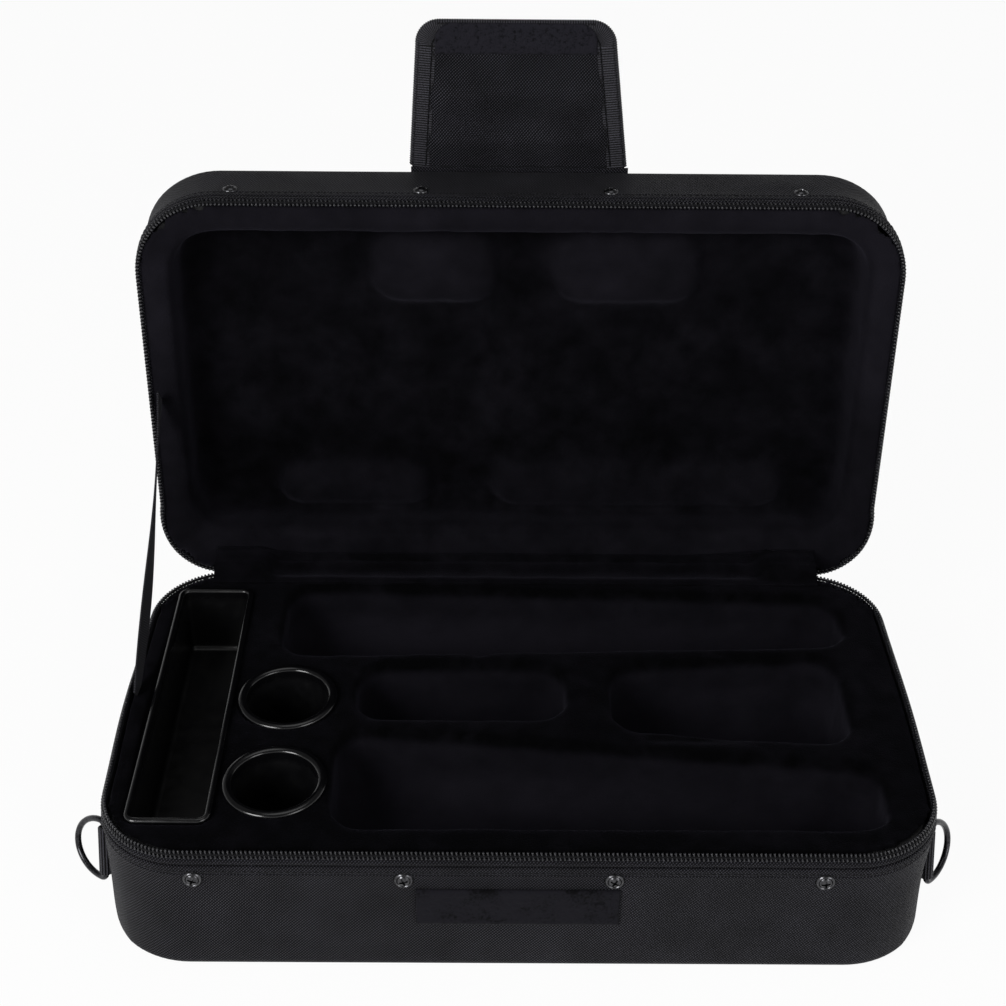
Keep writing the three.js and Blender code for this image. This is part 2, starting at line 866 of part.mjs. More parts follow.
function strapRing() {
  const reach = ringOpening / 2 + ringWire;
  const straight = reach - ringCorner;
  const path = new THREE.Path();
  path.moveTo(0, -straight);
  path.lineTo(0, straight);
  path.absarc(ringCorner, straight, ringCorner, 2 * quarter, quarter, true);
  path.absellipse(ringCorner, 0, ringDepth - ringCorner, reach, quarter, -quarter, true, 0);
  path.absarc(ringCorner, -straight, ringCorner, -quarter, -2 * quarter, true);
  const points = path.getSpacedPoints(ringSteps).slice(0, -1);
  const rings = points.map((point, i) => {
    const before = points.at(i - 1);
    const after = points[(i + 1) % points.length];
    const along = new THREE.Vector2().subVectors(after, before).normalize();
    return Array.from({ length: wireSides }, (_, side) => {
      const angle = (side / wireSides) * 4 * quarter;
      const across = ringWire * Math.cos(angle);
      return new THREE.Vector3(
        -(point.x - along.y * across),
        ringWire * Math.sin(angle),
        point.y + along.x * across,
      );
    });
  });
  return skin(rings, [], true);
}

function ringTab() {
  const tailFace = tabReach - 2 * webbingThickness;
  const lean =
    Math.atan2(webbingPinch, tailFace) + Math.acos(tabReach / Math.hypot(webbingPinch, tailFace));
  const shape = new THREE.Shape();
  shape.moveTo(tabReach, 0);
  shape.lineTo(tabReach, webbingTail);
  shape.lineTo(tailFace, webbingTail);
  shape.lineTo(tailFace, webbingPinch);
  shape.lineTo(tabReach * Math.cos(lean), tabReach * Math.sin(lean));
  shape.absarc(0, 0, tabReach, lean, 4 * quarter, false);
  const bore = new THREE.Path();
  bore.absarc(0, 0, ringWire + fit, 0, 4 * quarter, true);
  shape.holes.push(bore);
  return slab(shape, webbingWidth);
}

// Zip slider: two plates on a post, with a bail for its pull. It lies on the rear wall, facing +Y.
const sliderFoot = tapeTop(baseHalf) - sliderHeight / 2;
const sliderFace = rearWall + fit + 2 * sliderPlate + sliderPost;
const pullAxisY = sliderFace + (bailReach - bailWall) / 2;
const pullAxisZ = sliderFoot + sliderHeight / 2;

function zipSlider() {
  const half = sliderLength / 2;
  const near = rearWall + fit;
  const plate = (y) =>
    box(
      new THREE.Vector3(-half, y, sliderFoot),
      new THREE.Vector3(half, y + sliderPlate, sliderFoot + sliderHeight),
    );
  const post = box(
    new THREE.Vector3(-half / 2, near, sliderFoot + sliderHeight / 4),
    new THREE.Vector3(half / 2, sliderFace - sliderPlate / 2, sliderFoot + (3 * sliderHeight) / 4),
  );
  const low = pullAxisZ - bailHeight / 2;
  const bail = box(
    new THREE.Vector3(-bailWidth / 2, sliderFace - sliderPlate / 2, low),
    new THREE.Vector3(bailWidth / 2, sliderFace + bailReach, low + bailHeight),
  );
  const eye = box(
    new THREE.Vector3(-bailWidth, sliderFace, low + bailWall),
    new THREE.Vector3(bailWidth, sliderFace + bailReach - bailWall, low + bailHeight - bailWall),
  );
  return cut(join(plate(near), plate(near + sliderPlate + sliderPost), post, bail), eye);
}

function zipPull() {
  const bar = pullThickness / 2;
  const half = pullWidth / 2;
  const shape = new THREE.Shape();
  shape.moveTo(-half, bar);
  shape.lineTo(-half, -pullLength + half);
  shape.absarc(0, -pullLength + half, half, 2 * quarter, 4 * quarter, false);
  shape.lineTo(half, bar);
  const eyeHalf = bailWidth / 2 + 2 * fit;
  const eye = new THREE.Path();
  eye.moveTo(-eyeHalf, -bar);
  eye.lineTo(eyeHalf, -bar);
  eye.lineTo(eyeHalf, -bar - pullEye);
  eye.lineTo(-eyeHalf, -bar - pullEye);
  shape.holes.push(eye);
  return slab(shape, pullThickness).rotateX(quarter).translate(0, pullAxisY, pullAxisZ);
}

// The lid's own frame, placed closed on the base and then turned back about the cloth hinge
const closedHeight = baseHeight + lidHeight;
const hingeY = rearWall + hingeStandoff;
const hingeZ = baseHeight - hingeDrop;

function lidPoint(y, z) {
  const turn = radians(lidOpening);
  const fromY = y - hingeY;
  const fromZ = z - hingeZ;
  return [
    hingeY + fromY * Math.cos(turn) + fromZ * Math.sin(turn),
    hingeZ - fromY * Math.sin(turn) + fromZ * Math.cos(turn),
  ];
}

const hingeLength = caseLength - 2 * cornerRadius - 2 * (sliderLength + 2 * fit);

// Cloth hinge outside: from the base's rear wall round to the lid's rear wall
function clothHinge() {
  const away = fit + hingeCloth / 2;
  const wall = rearWall + away;
  const low = coverTop(baseHalf) - hingeLap;
  const lidCover = closedHeight - coverTop(lidHalf);
  const nearLid = lidPoint(rearWall + away, lidCover);
  const farLid = lidPoint(rearWall + away, lidCover + hingeLap);
  const line = [
    [wall, low],
    [wall, nearLid[1] - hingeBend],
    [wall + hingeBend, nearLid[1]],
    nearLid,
    farLid,
  ];
  return slab(ribbon(line, hingeCloth), hingeLength, "x");
}

// Plush hinge inside: from the base's lip to the lid's lip
function plushHingeStrip() {
  const away = fit + plushHinge / 2;
  const baseTop = lipTop(baseHalf) + away;
  const edge = rearWall - lipInset - lipRound;
  const lidFace = closedHeight - lipTop(lidHalf) - away;
  const onLid = lidPoint(edge - plushHingeLap, lidFace);
  const line = [
    [edge - plushHingeLap, baseTop],
    [edge, baseTop],
    [(edge + onLid[0]) / 2, baseTop - plushHingeSag],
    onLid,
  ];
  return slab(ribbon(line, plushHinge), hingeLength, "x");
}

// Stay strap on the left, edge to the front. Its ends are cut to lie on the two lips.
function stayStrap() {
  const stayY = rearWall - stayPlace;
  const low = new THREE.Vector2(stayY, lipTop(baseHalf) + fit);
  const high = new THREE.Vector2(...lidPoint(stayY, closedHeight - lipTop(lidHalf) - fit));
  const along = new THREE.Vector2().subVectors(high, low).normalize();
  const lowHalf = stayWidth / 2 / Math.abs(along.y);
  const highHalf = stayWidth / 2 / Math.abs(along.x);
  const faceLean = Math.tan(quarter - radians(lidOpening));
  const shape = new THREE.Shape();
  shape.moveTo(low.x - lowHalf, low.y);
  shape.lineTo(low.x + lowHalf, low.y);
  shape.lineTo(high.x + highHalf * faceLean, high.y - highHalf);
  shape.lineTo(high.x - highHalf * faceLean, high.y + highHalf);
  return slab(shape, stayThickness, "x").translate(-caseLength / 2 + stayInset, 0, 0);
}

// Assembly

function add(group, name, geometry, material) {
  const mesh = new THREE.Mesh(geometry, material);
  mesh.name = name;
  group.add(mesh);
  return mesh;
}

function addHalf(group, prefix, half, panelName) {
  add(group, panelName, flatPanel(), nylon);
  add(group, prefix + "_side_cover", sideCover(half), nylon);
  add(group, prefix + "_core", core(half), foam);
  add(group, prefix + "_front_rail", frontRail(half), wood);
  add(group, prefix + "_zip_tape", zipTape(half), webbing);
  add(group, prefix + "_zip_coil", zipCoil(half), zipPolymer);
  screwPlaces(half).forEach((x, i) => {
    const place = new THREE.Vector3(x, frontWall, screwZ(half));
    add(group, prefix + "_screw_" + (i + 1), screw(), blackMetal).position.copy(place);
    add(group, prefix + "_washer_" + (i + 1), washer(), blackMetal).position.copy(place);
  });
}

const clarinetCase = new THREE.Group();

const base = new THREE.Group();
clarinetCase.add(base);
addHalf(base, "base", baseHalf, "base_bottom_panel");
add(base, "base_insert", baseInsert(), plush);
add(base, "accessory_tray", accessoryTray(), moulded);
add(base, "rear_cup", mouthpieceCup(rearCupY), moulded);
add(base, "front_cup", mouthpieceCup(frontCupY), moulded);
add(base, "loop_patch", loopPatch(), webbing);
add(base, "cloth_hinge", clothHinge(), nylon);
add(base, "plush_hinge", plushHingeStrip(), plush);
add(base, "stay_strap", stayStrap(), webbing);

const sliderX = hingeLength / 2 + sliderLength / 2 + fit;
for (const [side, name] of [[-1, "left"], [1, "right"]]) {
  const slider = add(base, "zip_slider_" + name, zipSlider(), blackMetal);
  slider.position.x = side * sliderX;
  const pull = add(base, "zip_pull_" + name, zipPull(), blackMetal);
  pull.position.x = side * sliderX;
}

const ringZ = baseHeight - ringDrop;
for (const [side, name, turn] of [[-1, "left", leftRingTurn], [1, "right", rightRingTurn]]) {
  const corner = new THREE.Group();
  corner.position.set(side * (caseLength / 2 + tabReach + fit), frontWall + ringMargin, ringZ);
  corner.rotation.x = radians(-ringTilt);
  base.add(corner);
  const tab = add(corner, "ring_tab_" + name, ringTab(), webbing);
  tab.scale.x = -side;
  const ring = add(corner, "strap_ring_" + name, strapRing(), blackMetal);
  ring.scale.x = -side;
  ring.rotation.z = radians(side * turn);
}

const swing = new THREE.Group();
swing.position.set(0, hingeY, hingeZ);
swing.rotation.x = radians(-lidOpening);
clarinetCase.add(swing);
const lid = new THREE.Group();
lid.position.set(0, -hingeY, closedHeight - hingeZ);
lid.rotation.y = Math.PI;
swing.add(lid);
addHalf(lid, "lid", lidHalf, "lid_top_panel");
add(lid, "lid_lining", lidLining(), plush);
add(lid, "flap_root", flapRoot(), nylon);
add(lid, "flap_inner_cloth", flapLayer(innerClothTop, flapCloth, bindingInset), nylon);
add(lid, "flap_board", flapLayer(boardTop, flapBoard, bindingInset), board);
add(lid, "flap_outer_cloth", flapLayer(outerClothTop, flapCloth, bindingInset), nylon);
add(lid, "flap_binding", flapBinding(), webbing);
add(lid, "hook_strip", hookStrip(), webbing);
add(lid, "handle_strap", handleStrap(), webbing);
add(lid, "handle_grip", handleGrip(), nylon);

export default clarinetCase;
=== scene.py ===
# %% [markdown]
# # A soft clarinet case, dressed in Blender
# The case lies open: a base with plush wells, a lid on a cloth hinge and a flap that
# closes it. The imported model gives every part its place, and each cell below makes one
# part of the real object, or one of its finishes, around that model.

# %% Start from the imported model
import math

import bmesh
import bpy
from mathutils import Matrix, Vector, noise
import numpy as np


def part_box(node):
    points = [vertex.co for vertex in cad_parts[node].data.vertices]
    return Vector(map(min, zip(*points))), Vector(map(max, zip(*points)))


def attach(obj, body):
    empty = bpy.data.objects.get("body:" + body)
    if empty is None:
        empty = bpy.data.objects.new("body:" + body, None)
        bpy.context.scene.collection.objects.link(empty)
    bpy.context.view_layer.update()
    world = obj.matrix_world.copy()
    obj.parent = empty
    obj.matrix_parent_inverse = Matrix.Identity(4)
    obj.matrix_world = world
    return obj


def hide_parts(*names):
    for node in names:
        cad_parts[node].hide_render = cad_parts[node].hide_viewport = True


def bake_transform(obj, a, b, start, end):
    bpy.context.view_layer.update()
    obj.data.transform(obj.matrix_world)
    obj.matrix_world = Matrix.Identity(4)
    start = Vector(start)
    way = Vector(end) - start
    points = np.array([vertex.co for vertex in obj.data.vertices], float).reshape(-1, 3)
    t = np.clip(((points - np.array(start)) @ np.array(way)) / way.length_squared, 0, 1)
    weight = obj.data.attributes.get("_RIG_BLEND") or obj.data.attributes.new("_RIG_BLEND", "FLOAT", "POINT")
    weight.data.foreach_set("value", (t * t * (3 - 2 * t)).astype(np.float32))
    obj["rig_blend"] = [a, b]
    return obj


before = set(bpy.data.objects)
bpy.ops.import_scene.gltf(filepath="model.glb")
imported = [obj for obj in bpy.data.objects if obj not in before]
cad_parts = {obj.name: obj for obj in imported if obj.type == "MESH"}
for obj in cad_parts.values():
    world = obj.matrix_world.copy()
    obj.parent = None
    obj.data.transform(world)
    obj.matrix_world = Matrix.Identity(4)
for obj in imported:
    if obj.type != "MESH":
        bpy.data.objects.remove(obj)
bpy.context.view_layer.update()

# %% [markdown]
# ## The camera
# A camera is three directions and a focal length. The case is seen from in front and
# above, a little over half a metre away, so the near end looks wider than the far one.
# Writing the directions as one matrix keeps the tilt and the small roll together.

# %% Camera
camera_place = Vector((-0.01128, -0.6660, 0.6208))
pitch, yaw, roll = 0.5831, 0.0055, 0.0092
focal_pixels, frame_pixels = 1777.7, 1006
forward = Vector(
    (math.sin(yaw) * math.cos(pitch), math.cos(yaw) * math.cos(pitch), -math.sin(pitch))
)
level = Vector((math.cos(yaw), -math.sin(yaw), 0))
upward = level.cross(forward)
right = math.cos(roll) * level + math.sin(roll) * upward
above = -math.sin(roll) * level + math.cos(roll) * upward
camera = bpy.data.objects.new("camera", bpy.data.cameras.new("camera"))
bpy.context.scene.collection.objects.link(camera)
bpy.context.scene.camera = camera
camera.matrix_world = Matrix.Translation(camera_place) @ Matrix(
    (right, above, -forward)
).transposed().to_4x4()
camera.data.lens = focal_pixels / frame_pixels * camera.data.sensor_width
camera.data.clip_start = 0.05
print("lens", round(camera.data.lens, 2))

# %% [markdown]
# ## Millimetres, and the turned lid
# A case maker works in millimetres, so every shape below is drawn in them and made
# smaller by a thousand at the end. The lid is drawn lying on its back, as it is sewn,
# and one matrix then stands it up on the hinge.

# %% Sizes and places of the halves
case_length, case_width, case_corner = 376, 212, 40
case_outline = (case_length, case_width, case_corner, 0, 0)
closed_height, open_angle = 108, 92
hinge = Vector((0, 107, 59))
lid_place = (
    Matrix.Translation(hinge)
    @ Matrix.Rotation(math.radians(-open_angle), 4, "X")
    @ Matrix.Translation((0, -hinge.y, closed_height - hinge.z))
    @ Matrix.Rotation(math.pi, 4, "Y")
)
half_place = {"base": Matrix(), "lid": lid_place}
cover_top = {"base": 60.7, "lid": 31.7}
coil_top = {"base": 68.2, "lid": 39.2}
print("lid's rim middle", (lid_place @ Vector((0, -106, 39))).to_tuple(1))

# %% [markdown]
# ## From a drawing to a piece
# Each piece ends the same way: its edges are marked sharp or smooth, it is moved to its
# place in metres, gets its finish, and rides on the body that carries it. One small
# function does this for all, so no piece is forgotten.


# %% Make a piece
def make_piece(name, bm, finish, body, place=Matrix(), instead_of=(), crease=38):
    bmesh.ops.remove_doubles(bm, verts=bm.verts, dist=0.004)
    bmesh.ops.transform(bm, matrix=Matrix.Scale(0.001, 4) @ place, verts=bm.verts)
    for edge in bm.edges:
        flat_enough = edge.calc_face_angle(0) < math.radians(crease)
        edge.smooth = len(edge.link_faces) != 2 or flat_enough
    for face in bm.faces:
        face.smooth = True
    mesh = bpy.data.meshes.new(name)
    bm.to_mesh(mesh)
    bm.free()
    piece = bpy.data.objects.new(name, mesh)
    bpy.context.scene.collection.objects.link(piece)
    mesh.materials.append(finish)
    if body:
        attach(piece, body)
    if instead_of:
        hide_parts(*instead_of)
    print(name, "faces", len(mesh.polygons))
    return piece


# %% [markdown]
# ## Sewing along a path
# Most of the case is a section that follows a line: the walls, the zip, the binding, a
# strap. The line is cut into stations, and each station knows which way is outwards and
# which way is up. With these two directions a section can be set down anywhere.


# %% Stations along a path
def stations(path, up=(0, 0, 1), closed=False):
    points = [Vector(p) for p in path]
    count = len(points)
    made = []
    for i, point in enumerate(points):
        before = points[i - 1] if closed or i else point
        after = points[(i + 1) % count] if closed or i < count - 1 else point
        along = (after - before).normalized()
        lift = Vector(up[i]) if isinstance(up, list) else Vector(up)
        out = along.cross(lift).normalized()
        made.append((point, out, out.cross(along)))
    return made


def turn_between(here, there):
    old, new = (Matrix((out, lift, out.cross(lift))) for _, out, lift in (here, there))
    return new.transposed() @ old


# %% [markdown]
# A few points of the section are drawn once, and bmesh extrudes them from station to
# station. Each point remembers how far it lies along the line and across the section, in
# millimetres, and that becomes the map on which the weave is drawn. On a closed tube the
# last strip comes back to the first point, so its map has to go on to the full girth.


# %% Sweep a section along a path
def lay_map(bm, faces, girth, tube):
    along, across = (bm.verts.layers.float[name] for name in ("along", "across"))
    uv = bm.loops.layers.uv["cloth"]
    for face in faces:
        wraps = tube and any(corner.vert[across] > girth / 2 for corner in face.loops)
        for corner in face.loops:
            value = corner.vert[across]
            if wraps and value < 1e-6:
                value += girth
            corner[uv].uv = (corner.vert[along], value)


def sweep(section, path, up=(0, 0, 1), loop=False, tube=False):
    bm = bmesh.new()
    along = bm.verts.layers.float.new("along")
    across = bm.verts.layers.float.new("across")
    bm.loops.layers.uv.new("cloth")
    places = stations(path, up, loop)
    if loop:
        places.append(places[0])
    point, out, lift = places[0]
    verts = [bm.verts.new(point + out * x + lift * y) for x, y in section]
    girth = 0
    for i in range(1, len(verts)):
        girth += (Vector(section[i]) - Vector(section[i - 1])).length
        verts[i][across] = girth
    edges = [bm.edges.new(pair) for pair in zip(verts, verts[1:])]
    if tube:
        edges.append(bm.edges.new((verts[-1], verts[0])))
        girth += (Vector(section[0]) - Vector(section[-1])).length
    first, travelled, faces = list(edges), 0, []
    for here, there in zip(places, places[1:]):
        turn = turn_between(here, there)
        made = bmesh.ops.extrude_edge_only(bm, edges=edges)["geom"]
        faces += [g for g in made if isinstance(g, bmesh.types.BMFace)]
        edges = [g for g in made if isinstance(g, bmesh.types.BMEdge)]
        travelled += (there[0] - here[0]).length
        for vert in (g for g in made if isinstance(g, bmesh.types.BMVert)):
            vert.co = there[0] + turn @ (vert.co - here[0])
            vert[along] = travelled
    lay_map(bm, faces, girth, tube)
    if tube and not loop:
        for end in (first, edges):
            bmesh.ops.contextual_create(bm, geom=end)
    bmesh.ops.remove_doubles(bm, verts=bm.verts, dist=0.002)
    bmesh.ops.recalc_face_normals(bm, faces=bm.faces)
    return bm


# %% [markdown]
# ## The outline of the case
# Seen from above the case is an oblong with round corners. A place on it is named by
# its distance from the middle of the front, to the right or to the left. So the zip, the
# hem and the stitches can all start and end where they do on the real case.


# %% Points on the rim
def rim_parts(outline):
    length, width, radius = outline[:3]
    return length / 2 - radius, width / 2 - radius, radius * math.pi / 2


def rim_reach(outline):
    flat, deep, bend = rim_parts(outline)
    return 2 * flat + 2 * deep + 2 * bend


def rim_spot(outline, far):
    length, width, radius, x, y = outline
    flat, deep, bend = rim_parts(outline)
    reach = abs(far)
    if reach <= flat:
        spot, facing = (reach, -width / 2), -math.pi / 2
    elif reach <= flat + bend:
        facing = (reach - flat) / radius - math.pi / 2
        spot = (flat + radius * math.cos(facing), -deep + radius * math.sin(facing))
    elif reach <= flat + bend + 2 * deep:
        spot, facing = (length / 2, reach - flat - bend - deep), 0
    elif reach <= flat + 2 * bend + 2 * deep:
        facing = (reach - flat - bend - 2 * deep) / radius
        spot = (flat + radius * math.cos(facing), deep + radius * math.sin(facing))
    else:
        spot, facing = (2 * flat + 2 * bend + 2 * deep - reach, width / 2), math.pi / 2
    side = -1 if far < 0 else 1
    facing = facing if side > 0 else math.pi - facing
    return Vector((x + side * spot[0], y + spot[1], 0)), facing


# %% Lines on the rim
def rim_path(outline, z, start=None, end=None, step=6, turns=14):
    flat, deep, bend = rim_parts(outline)
    half = rim_reach(outline)
    marks = [0, flat, flat + bend, flat + bend + 2 * deep, flat + 2 * bend + 2 * deep, half]
    fars = []
    for i, (low, high) in enumerate(zip(marks, marks[1:])):
        count = turns if i in (1, 3) else max(1, round((high - low) / step))
        fars += [low + (high - low) * k / count for k in range(count)]
    fars = sorted({-f for f in fars} | set(fars) | {-half, half})
    start, end = (-half, half) if start is None else (start, end)
    fars = [f for f in fars if start + 0.01 < f < end - 0.01]
    fars = [start] + fars + ([] if end - start > 2 * half - 0.01 else [end])
    return [rim_spot(outline, f)[0] + Vector((0, 0, z)) for f in fars]


flat_half, deep_half = rim_parts(case_outline)[:2]
zip_run = rim_reach(case_outline) - flat_half
print("rim round", round(2 * rim_reach(case_outline), 1), "zip", round(2 * zip_run, 1))

# %% [markdown]
# ## Finishes
# A finish is one shader and a few pattern nodes. The patterns are drawn in millimetres
# on the map of the cloth, so a thread has its real thickness on every piece. Numbers
# that are the same all over go straight on the shader.


# %% Node helpers
def new_finish(name, colour, roughness, **sockets):
    finish = bpy.data.materials.new(name)
    finish.use_nodes = True
    shader = finish.node_tree.nodes["Principled BSDF"]
    shader.inputs["Base Color"].default_value = (*colour, 1)
    shader.inputs["Roughness"].default_value = roughness
    for socket, value in sockets.items():
        shader.inputs[socket.replace("_", " ")].default_value = value
    print("finish", name)
    return finish


def put(owner, kind, inputs, output=0, **settings):
    node = owner.node_tree.nodes.new("ShaderNode" + kind)
    for setting, value in settings.items():
        setattr(node, setting, value)
    for socket, value in inputs.items():
        if isinstance(value, bpy.types.NodeSocket):
            owner.node_tree.links.new(value, node.inputs[socket])
        else:
            node.inputs[socket].default_value = value
    return node.outputs[output]


def to_shader(finish, socket, value):
    shader = finish.node_tree.nodes["Principled BSDF"]
    finish.node_tree.links.new(value, shader.inputs[socket])


# %% [markdown]
# Two places to draw a pattern on: the map of a cloth, and the case's own frame, both in
# millimetres. Blender's wave pattern runs along the diagonal, ten radians for each unit
# of both axes together, so a stripe that follows one axis alone is stretched by the
# square root of two.

# %% Pattern helpers
diagonal_pitch = 0.4443
straight = 1.4142


def cloth_spot(finish):
    return put(finish, "UVMap", {}, uv_map="cloth")


def case_spot(finish):
    place = put(finish, "TexCoord", {}, "Object")
    return put(finish, "Mapping", {"Vector": place, "Scale": (1000, 1000, 1000)})


def threads(finish, spot, pitch, way=(1, 1)):
    turned = put(finish, "Mapping", {"Vector": spot, "Scale": (way[0], way[1], 0)})
    return put(
        finish, "TexWave", {"Vector": turned, "Scale": diagonal_pitch / pitch}, 1,
        wave_type="BANDS", bands_direction="DIAGONAL", wave_profile="SIN",
    )


def clouds(finish, spot, size, detail=3.0):
    return put(
        finish, "TexNoise",
        {"Vector": spot, "Scale": 1 / size, "Detail": detail, "Roughness": 0.55},
    )


# %% Colour helpers
def sums(owner, how, a, b, c=0.0):
    return put(owner, "Math", {0: a, 1: b, 2: c}, operation=how)


def shades(finish, value, dark, light, low=0.0, high=1.0):
    ramp = finish.node_tree.nodes.new("ShaderNodeValToRGB")
    ends = ramp.color_ramp.elements
    ends[0].position, ends[1].position = low, high
    ends[0].color, ends[1].color = (*dark, 1), (*light, 1)
    finish.node_tree.links.new(value, ramp.inputs[0])
    return ramp.outputs[0]


def paint(finish, value, dark, light, low=0.0, high=1.0):
    to_shader(finish, "Base Color", shades(finish, value, dark, light, low, high))


def gloss(finish, value, smooth, rough, low, high):
    return shades(finish, value, (smooth,) * 3, (rough,) * 3, low, high)


def raise_surface(finish, height, depth, strength=1.0):
    bump = put(
        finish, "Bump", {"Height": height, "Distance": depth * 0.001, "Strength": strength}
    )
    to_shader(finish, "Normal", bump)


# %% [markdown]
# ### Nylon twill
# The outside is a strong nylon in a twill weave: fine ribs that climb at an angle, each
# broken up by the threads that cross under it. Two wave patterns multiplied give that,
# and a slow cloud on top keeps the large faces from looking printed.

# %% Nylon
nylon = new_finish(
    "nylon_twill", (0.009, 0.009, 0.011), 0.55,
    Sheen_Weight=0.02, Sheen_Roughness=0.4, Specular_IOR_Level=0.08,
)
spot = cloth_spot(nylon)
ribs = threads(nylon, spot, 1.1, (1, -1))
crossing = threads(nylon, spot, 1.0, (1, 0.8))
twill = sums(nylon, "MULTIPLY", ribs, sums(nylon, "MULTIPLY_ADD", crossing, 1.0, 0.3))
uneven = sums(nylon, "ADD", clouds(nylon, case_spot(nylon), 28, 4), 0.5)
tone = sums(nylon, "MULTIPLY", sums(nylon, "MULTIPLY_ADD", twill, 0.7, 0.04), uneven)
paint(nylon, tone, (0.0003, 0.0003, 0.0006), (0.056, 0.055, 0.069), 0.2, 0.95)
raise_surface(nylon, twill, 0.45)

# %% [markdown]
# ### Webbing
# Binding and straps are woven with ribs that run across them. The map's first number is
# the distance along the strap, so the ribs follow every turn.

# %% Webbing
webbing = new_finish(
    "webbing_ribbed", (0.009, 0.009, 0.011), 0.5,
    Sheen_Weight=0.02, Specular_IOR_Level=0.12,
)
spot = cloth_spot(webbing)
ribs = sums(webbing, "MULTIPLY_ADD", threads(webbing, spot, 1.2, (straight, 0)), 0.8, 0.1)
grain = sums(webbing, "ADD", threads(webbing, spot, 0.7, (0, straight)), 1.2)
weave = sums(webbing, "MULTIPLY", ribs, grain)
paint(webbing, weave, (0.0004, 0.0004, 0.0006), (0.052, 0.051, 0.061), 0.6, 1.8)
raise_surface(webbing, weave, 0.35)

# %% [markdown]
# ### Plush
# The lining is a short black pile. It has next to no colour of its own; what shows is
# the light caught by the tips where the surface turns away, with a cold violet tone.
# That is what the sheen of the shader is for. Clouds of two sizes stand for places
# where the pile was stroked the other way. An attribute of the mesh makes it lighter in
# the wells and on the pads, partly for the wear of joints and hands and partly as painted
# light, and paints light and shade across the panels in slow gradients.

# %% Plush
plush = new_finish(
    "plush_pile", (0.003, 0.003, 0.004), 0.95,
    Sheen_Weight=0.1, Sheen_Roughness=0.4, Sheen_Tint=(0.24, 0.23, 0.31, 1),
    Specular_IOR_Level=0.02,
)
spot = case_spot(plush)
stroked = sums(plush, "MULTIPLY", clouds(plush, spot, 34, 2), clouds(plush, spot, 11, 2))
# This attribute carries wear together with painted light and shade.
wear_and_painted_light = put(plush, "Attribute", {}, 2, attribute_name="wear_and_painted_light")
pile_tone_and_painted_light = sums(
    plush, "ADD", sums(plush, "MULTIPLY", stroked, 0.9), sums(plush, "MULTIPLY", wear_and_painted_light, 0.75)
)
paint(plush, pile_tone_and_painted_light, (0.0008, 0.0008, 0.0010), (0.0098, 0.0091, 0.0124), 0.1, 1.1)
tips = clouds(plush, spot, 0.7, 2)
raise_surface(plush, sums(plush, "ADD", tips, sums(plush, "MULTIPLY", stroked, 1.5)), 0.5, 0.8)

# %% [markdown]
# ### Moulded plastic
# The tray and cups are glossy black plastic. Hands polish their rims, while the inside
# keeps the fine grain of the mould, so the roughness grows from just under the rim
# downwards. A haze of fingerprints breaks up the gloss.

# %% Moulded plastic
moulded = new_finish("moulded_plastic", (0.0020, 0.0020, 0.0024), 0.24, Specular_IOR_Level=0.5)
haze = gloss(moulded, clouds(moulded, case_spot(moulded), 6, 4), 0.14, 0.26, 0.3, 0.7)
height = put(moulded, "SeparateXYZ", {0: case_spot(moulded)}, 2)
inside = put(
    moulded, "MapRange",
    {"Value": height, "From Min": 66.5, "From Max": 62, "To Min": 0, "To Max": 0.16},
)
to_shader(moulded, "Roughness", sums(moulded, "ADD", haze, inside))
raise_surface(moulded, clouds(moulded, case_spot(moulded), 0.8, 2), 0.012, 0.5)

# %% [markdown]
# ### Zip coil and sewing thread
# The coil is a smooth black monofilament. Its turns are polished where the slider runs
# and dull between; a cloud of about two millimetres makes their colour darker and lighter.
# Sewing thread is twisted, so it has fine slanting bands and next to no gloss.

# %% Coil and thread
coil = new_finish("zip_coil", (0.02, 0.02, 0.023), 0.26, Specular_IOR_Level=0.5)
worn = clouds(coil, case_spot(coil), 2.2, 2)
paint(coil, worn, (0.003, 0.003, 0.004), (0.02, 0.02, 0.024), 0.3, 0.7)

thread = new_finish(
    "sewing_thread", (0.008, 0.008, 0.009), 0.6, Sheen_Weight=0.01, Specular_IOR_Level=0.08
)
twist = threads(thread, case_spot(thread), 0.5, (1, 1))
paint(thread, twist, (0.0008, 0.0008, 0.001), (0.006, 0.006, 0.0075))

# %% [markdown]
# ### Metal
# The screws are nickel plated and the rings painted black. Both are told from plastic by
# the metallic shader, and scuffs make them rougher and darker in small spots.

# %% Metal
plated = new_finish("screw_plating", (0.2, 0.2, 0.21), 0.26, Metallic=1.0)
scuffs = clouds(plated, case_spot(plated), 0.9, 4)
to_shader(plated, "Roughness", gloss(plated, scuffs, 0.16, 0.42, 0.35, 0.7))
paint(plated, scuffs, (0.09, 0.09, 0.095), (0.025, 0.025, 0.027), 0.3, 0.75)

dark_metal = new_finish("black_metal", (0.03, 0.03, 0.034), 0.24, Metallic=0.9)
scuffs = clouds(dark_metal, case_spot(dark_metal), 1.4, 4)
paint(dark_metal, scuffs, (0.018, 0.018, 0.02), (0.055, 0.055, 0.06), 0.35, 0.75)
to_shader(dark_metal, "Roughness", gloss(dark_metal, scuffs, 0.16, 0.34, 0.3, 0.7))

# %% [markdown]
# ### Hook-and-loop
# The hook strip and the loop strip are two faces of one fastener. The hooks are stiff
# and catch the light in points. The loops are matted, with patches pressed flat, so
# their pattern mixes a fine cloud with one of fourteen millimetres.


# %% Hooks and loops
def fastener(name, colour, sizes, dark, light, low, high, depth):
    finish = new_finish(
        name, colour, 0.85, Sheen_Weight=0.02, Sheen_Roughness=0.5, Specular_IOR_Level=0.05
    )
    fine, coarse = (clouds(finish, case_spot(finish), *size) for size in sizes)
    nap = sums(finish, "ADD", fine, coarse)
    paint(finish, nap, dark, light, low, high)
    raise_surface(finish, nap, depth, 0.9)
    return finish


